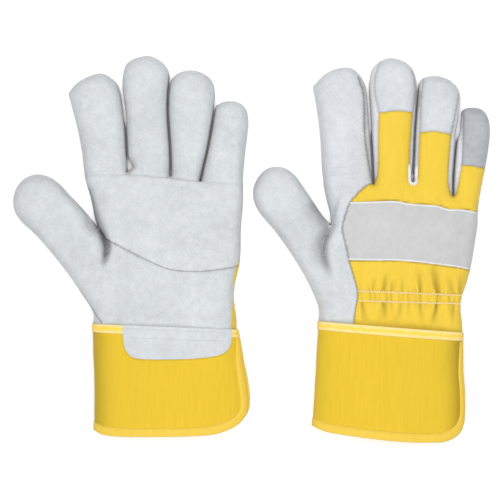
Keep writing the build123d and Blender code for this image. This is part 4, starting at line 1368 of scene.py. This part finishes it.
def make_binding(cuff):
    """Folded cloth over the cuff's free edge, the same width outside and inside."""
    g = cuff.glove
    places = cuff_edge(cuff)
    length = cuff.length
    flat = np.array([(u * cuff.girth(v), v * length) for u, v in places])
    ahead = np.gradient(flat, axis=0)
    ahead /= np.linalg.norm(ahead, axis=1)[:, None]
    inward = np.stack([ahead[:, 1], -ahead[:, 0]], axis=1)
    centre = np.array([cuff.girth(0.4) / 2, 0.3 * length])
    if (inward[len(flat) // 2] @ (centre - flat[len(flat) // 2])) < 0:
        inward = -inward
    section = [  # (in from the edge, out from the cuff's face), round the fold
        (BINDING_WIDTH, 0.05),
        (BINDING_WIDTH - 0.3, 0.6),
        (BINDING_WIDTH / 2, 0.75),
        (0.8, 0.75),
        (0.1, 0.6),
        (-0.6, 0.1),
        (-0.75, -CUFF_WALL / 2),
        (-0.6, -CUFF_WALL - 0.1),
        (0.1, -CUFF_WALL - 0.6),
        (BINDING_WIDTH / 2, -CUFF_WALL - 0.7),
        (BINDING_WIDTH - 0.2, -CUFF_WALL - 0.5),
        (BINDING_WIDTH, -CUFF_WALL + 0.2),
    ]
    bm = bmesh.new()
    grid = []
    for (s, v), n in zip(flat, inward):
        row = []
        for w, proud in section:
            q = np.array([s, v]) + n * w
            down = q[1] / length
            row.append(bm.verts.new(cuff.point(q[0] / cuff.girth(down), down, proud) * MM))
        grid.append(row)
    count = len(section)
    for one, two in zip(grid, grid[1:]):
        for k in range(count):
            bm.faces.new([one[k], two[k], two[(k + 1) % count], one[(k + 1) % count]])
    for row in (grid[0], grid[-1]):
        bm.faces.new(row)
    obj = new_object(f"soft_{g.side}_cuff_binding", bm)
    stand_in(obj, g, "cuff_binding", "binding_cloth")


def make_tape(cuff):
    """The flat tape over the seam between hand and cuff."""
    g = cuff.glove
    low, high = -0.2, TAPE_WIDTH
    section = [  # (down from the seam, out from the cuff's face): a band with a ridge near each edge
        (low, -0.3),
        (low, 0.5),
        (low + 0.5, 0.85),
        (1.5, 0.9),
        (2.0, 0.7),
        (4.0, 0.7),
        (4.5, 0.9),
        (high - 0.5, 0.85),
        (high, 0.5),
        (high, -0.3),
    ]
    bm = bmesh.new()
    layer = bm.loops.layers.uv.new("tape")
    grid = []
    columns = 160
    for i in range(columns):
        row = []
        for w, proud in section:
            down = w / cuff.length
            row.append(bm.verts.new(cuff.point(i / columns, down, proud) * MM))
        grid.append(row)
    count = len(section)
    for i in range(columns):
        one, two = grid[i], grid[(i + 1) % columns]
        for k in range(count):
            j = (k + 1) % count
            f = bm.faces.new([one[k], two[k], two[j], one[j]])
            for loop, kk in zip(f.loops, (k, k, j, j)):
                loop[layer].uv = (i / columns, (section[kk][0] - low) / (high - low))
    obj = new_object(f"soft_{g.side}_cuff_tape", bm)
    stand_in(obj, g, "cuff_tape", "cream_tape")


def make_tongue(cuff, shell):
    """The leather tongue that runs from the palm down over the cuff, on the palm's side."""
    g = cuff.glove
    line = smooth_line(g.tongue, 1.2)
    low, high = line.min(axis=0), line.max(axis=0)
    xs, ys = np.arange(low[0], high[0], 1.6), np.arange(low[1], high[1] + 1.6, 1.4)
    grid = np.array([(x + (k % 2) * 0.8, y) for k, y in enumerate(ys) for x in xs])
    grid = grid[inside(grid, line)]
    grid = grid[from_line(grid, line, closed=True)[0] > 0.9]
    rows = []
    middle = line.mean(axis=0)
    for d in (0.3, 0.8):
        toward = middle - line
        rows.append(line + toward / np.linalg.norm(toward, axis=1)[:, None] * d)
    coords = [tuple(q) for q in (*line, *np.vstack(rows), *grid)]
    n = len(line)
    edges = [(i, (i + 1) % n) for i in range(n)]
    verts, _, faces, *_ = delaunay_2d_cdt([Vector(c) for c in coords], edges, [], 1, 0.02)
    points, faces = np.array([v[:] for v in verts]), np.array([f for f in faces if len(f) == 3], int)
    a, b, c = (points[faces[:, k]] for k in range(3))
    area = (b[:, 0] - a[:, 0]) * (c[:, 1] - a[:, 1]) - (b[:, 1] - a[:, 1]) * (c[:, 0] - a[:, 0])
    faces = np.where((area < 0)[:, None], faces[:, ::-1], faces)
    up = 1 if g.palm_up else -1
    tree = cuff_tree(cuff)
    edge = from_line(points, line, closed=True)[0]
    lift = 1.25 + 0.95 * rounded(edge / 1.2)
    made, out = [], []
    for (x, y), proud in zip(points, lift):
        spot, normal, *_ = tree.ray_cast(Vector((x, y, 100 * up)), Vector((0, 0, -up)))
        if spot is None:
            spot, normal, *_ = tree.find_nearest(Vector((x, y, 25 if g.palm_up else 0)))
        if normal.z * up < 0:
            normal = -normal
        made.append(spot + normal * proud)
        out.append(normal)
    if not g.palm_up:
        faces = faces[:, ::-1]
    skin, outward = (np.array([v[:] for v in vectors]) for vectors in (made, out))
    obj = walled(f"soft_{g.side}_pulse_tongue", skin, faces, outward, 1.0)
    stand_in(obj, g, "pulse_tongue", "suede_leather")
    face = BVHTree.FromPolygons(made, faces.tolist())
    places = []
    upper_edge = np.array([g.tongue[0], g.tongue[-1]]).T
    for row in (4.4, 10.6):
        for x in np.arange(line[:, 0].min() + 3, line[:, 0].max() - 3, 1.7):
            y = np.interp(x, *upper_edge) - row
            spot, normal, *_ = face.ray_cast(Vector((x, y, 100 * up)), Vector((0, 0, -up)))
            if spot is not None:
                normal = normal if normal.z * up > 0 else -normal
                places.append((spot, Vector((1, -0.04, 0)), normal))
    rows = stitches(f"{g.side}_tongue_stitching", places, 1.3, 0.5, 0.2)
    finish_as(rows, "pale_thread")
    attach(rows, g)


def cuff_tree(cuff):
    """The plain cuff as a surface that rays can hit; it runs a little way up over the wrist."""
    points, faces, columns = [], [], 120
    downs = np.linspace(-0.06, 1, 24)
    for down in downs:
        points += [cuff.point(i / columns, down) for i in range(columns)]
    for j in range(len(downs) - 1):
        for i in range(columns):
            a, b = j * columns + i, j * columns + (i + 1) % columns
            faces.append((a, b, b + columns, a + columns))
    return BVHTree.FromPolygons(points, faces)


def sewn_rows(shell):
    """The rows of stitches on the hand: (name, line, face of the shell, digit or None), and the elastic's."""
    g = shell.glove
    rows = []
    if g.palm_up:
        top = [(-119, 50.4), (-104, 51.0), (-88, 51.1), (-57.4, 48.6), (-36.1, 46.3), (-6.4, 44.6)]
        curve = [(-99.8, 4.4), (-86.4, -2.9), (-72, -10), (-57.6, -15.9), (-39.8, -17.5), (-20.8, -15.8)]
        rows.append(("palm_patch_stitching", top, "top", None))
        rows.append(("patch_curve_stitching", [*curve, (-9, -13.2)], "top", None))
        rows.append(("index_root_stitching", [(-118.6, 54.6), (-104, 55.2), (-90, 56.4)], "top", 0))
    else:
        rows.append(("index_cross_stitching", [(51.4, 57.0), (66, 58.2), (83, 60.2)], "top", 0))
        rows.append(("index_root_stitching", [(51.8, 51.6), (66, 53.2), (84.6, 55.4)], "top", 0))
        wing = [(82.4, 46.9), (77.7, 43.4), (73.0, 38.7), (68.9, 32.9), (65.4, 23.7), (63.6, 15.6)]
        rows.append(("wing_stitching", [*wing, (64.8, 7.2), (67.1, -1.9), (68, -7.4)], "top", None))
    for name, line, face, digit in rows:
        obj = stitches(f"{g.side}_{name}", row_of(shell, line, 1.5, face), 1.15, 0.42, 0.2)
        finish_as(obj, "pale_thread")
        attach(obj, g, digit)
    face = "bottom" if g.palm_up else "top"
    places = []
    edge = shell.lines["leather_edge"]
    for row in shell.gather_rows():
        left = float(np.interp(row(0), edge[::-1, 1], edge[::-1, 0]))
        right = g.runs[-1][-3][0]
        line = [(x, float(row(x))) for x in np.linspace(left + 0.5, right + 1, 12)]
        places += row_of(shell, line, 1.5, face)
    obj = stitches(f"{g.side}_elastic_stitching", places, 1.6, 1.5, 0.8)
    finish_as(obj, "seam_thread")
    attach(obj, g)


def crotch_welt(shell):
    """White leather piped round the foot of the gap between the middle and ring fingers, in two runs."""
    cx, cy = shell.glove.knuckles[2]
    path = []
    bow = [(-2.4, 12), (-2.7, 3), (-2.4, -0.6), (0, -2.6), (2.4, -0.8), (2.7, 3), (2.6, 11)]
    route = smooth_line(bow, 0.8)
    for (x, y), along in zip(route, np.linspace(-1, 1, len(route))):
        spot, normal = shell.on_surface(cx + x, cy + y)
        path.append(spot + normal * (0.25 - 1.6 * along**8))  # both ends sink into the side walls
    foot = len(path) // 2
    for digit, run in ((1, path[: foot + 1]), (2, path[foot:])):
        obj = tube(f"right_{FINGERS[digit]}_crotch_welt", run, 1.3)
        finish_as(obj, "welt_and_lit_side_leather")
        attach(obj, shell.glove, digit)


SHEETS = {  # each cloth panel: how it is held, and how much wider than its place it is cut
    "upper_back": ("stretched", 1.0),
    "wrist_back": ("gathered", 1.15),
    "middle_back_strip": ("stretched", 1.0),
    "ring_back_strip": ("stretched", 1.0),
    "little_back_strip": ("stretched", 1.0),
    "cuff": ("folded", 1.0),
    "palm_lining": ("laid", 1.0),
    "wrist_elastic": ("stretched", 1.0),
}


def cut_sizes():
    for side in ("left", "right"):
        for name, (held, fullness) in SHEETS.items():
            obj = bpy.data.objects[f"soft_{side}_{name}"]
            area = sum(f.area for f in obj.data.polygons) / 2 * fullness
            spots = [v.co[:2] for v in obj.data.vertices]
            low, high = np.min(spots, axis=0), np.max(spots, axis=0)
            width, length = high - low
            if name == "cuff":
                width = area / length
            width *= fullness


def build_glove(glove):
    shell = Shell(glove)
    hand_panels(shell)
    palm_overlay(shell)
    inner_layers(shell)
    strap_pipings(shell)
    sewn_rows(shell)
    cuff = Cuff(glove)
    make_cuff(cuff)
    make_binding(cuff)
    make_tape(cuff)
    make_tongue(cuff, shell)
    return shell


shells = [build_glove(glove) for glove in (LEFT, RIGHT)]
crotch_welt(shells[1])
cut_sizes()


# ---- light, floor and camera -----------------------------------------------------------------------------

VIEW_WIDTH = 0.3575  # metres across the view
VIEW_HEIGHT = 1.6  # metres from the table up to the camera
SEEN_AT = 0.009  # the height at which the view has that width
VIEW_CENTRE = (-0.00075, -0.000575)
SENSOR = 36  # millimetres

world = bpy.data.worlds.new("studio")
world.use_nodes = True
world.node_tree.nodes["Background"].inputs["Color"].default_value = (1, 1, 1, 1)
world.node_tree.nodes["Background"].inputs["Strength"].default_value = 0.3
bpy.context.scene.world = world

floor_mesh = bmesh.new()
bmesh.ops.create_grid(floor_mesh, x_segments=1, y_segments=1, size=3)
floor = new_object("floor", floor_mesh, smooth=False)
floor_paint, _, floor_shader, _ = begin_material("floor_paper", 0.9)
floor_shader.inputs["Base Color"].default_value = (0.95, 0.95, 0.95, 1)
floor_shader.inputs["Emission Color"].default_value = (1, 1, 1, 1)
floor_shader.inputs["Emission Strength"].default_value = 0.1
floor.data.materials.append(floor_paint)


def area_light(name, place, size, power):
    light = bpy.data.lights.new(name, "AREA")
    light.size, light.energy = size, power
    obj = bpy.data.objects.new(name, light)
    obj.location = place
    obj.rotation_mode = "QUATERNION"
    obj.rotation_quaternion = (-Vector(place)).to_track_quat("-Z", "Y")
    bpy.context.scene.collection.objects.link(obj)


area_light("key_softbox", (0, 0.02, 1.75), 0.6, 16)
area_light("back_softbox", (0, 0.55, 0.95), 0.5, 4)
area_light("front_softbox", (0, -0.55, 0.95), 0.5, 4)
bpy.context.scene.view_settings.view_transform = "Standard"

camera = bpy.data.cameras.new("camera")
camera.sensor_width = SENSOR
camera.lens = SENSOR * (VIEW_HEIGHT - SEEN_AT) / VIEW_WIDTH
camera.clip_start, camera.clip_end = 0.05, 20
camera_object = bpy.data.objects.new("camera", camera)
camera_object.location = (*VIEW_CENTRE, VIEW_HEIGHT)
bpy.context.scene.collection.objects.link(camera_object)
bpy.context.scene.camera = camera_object
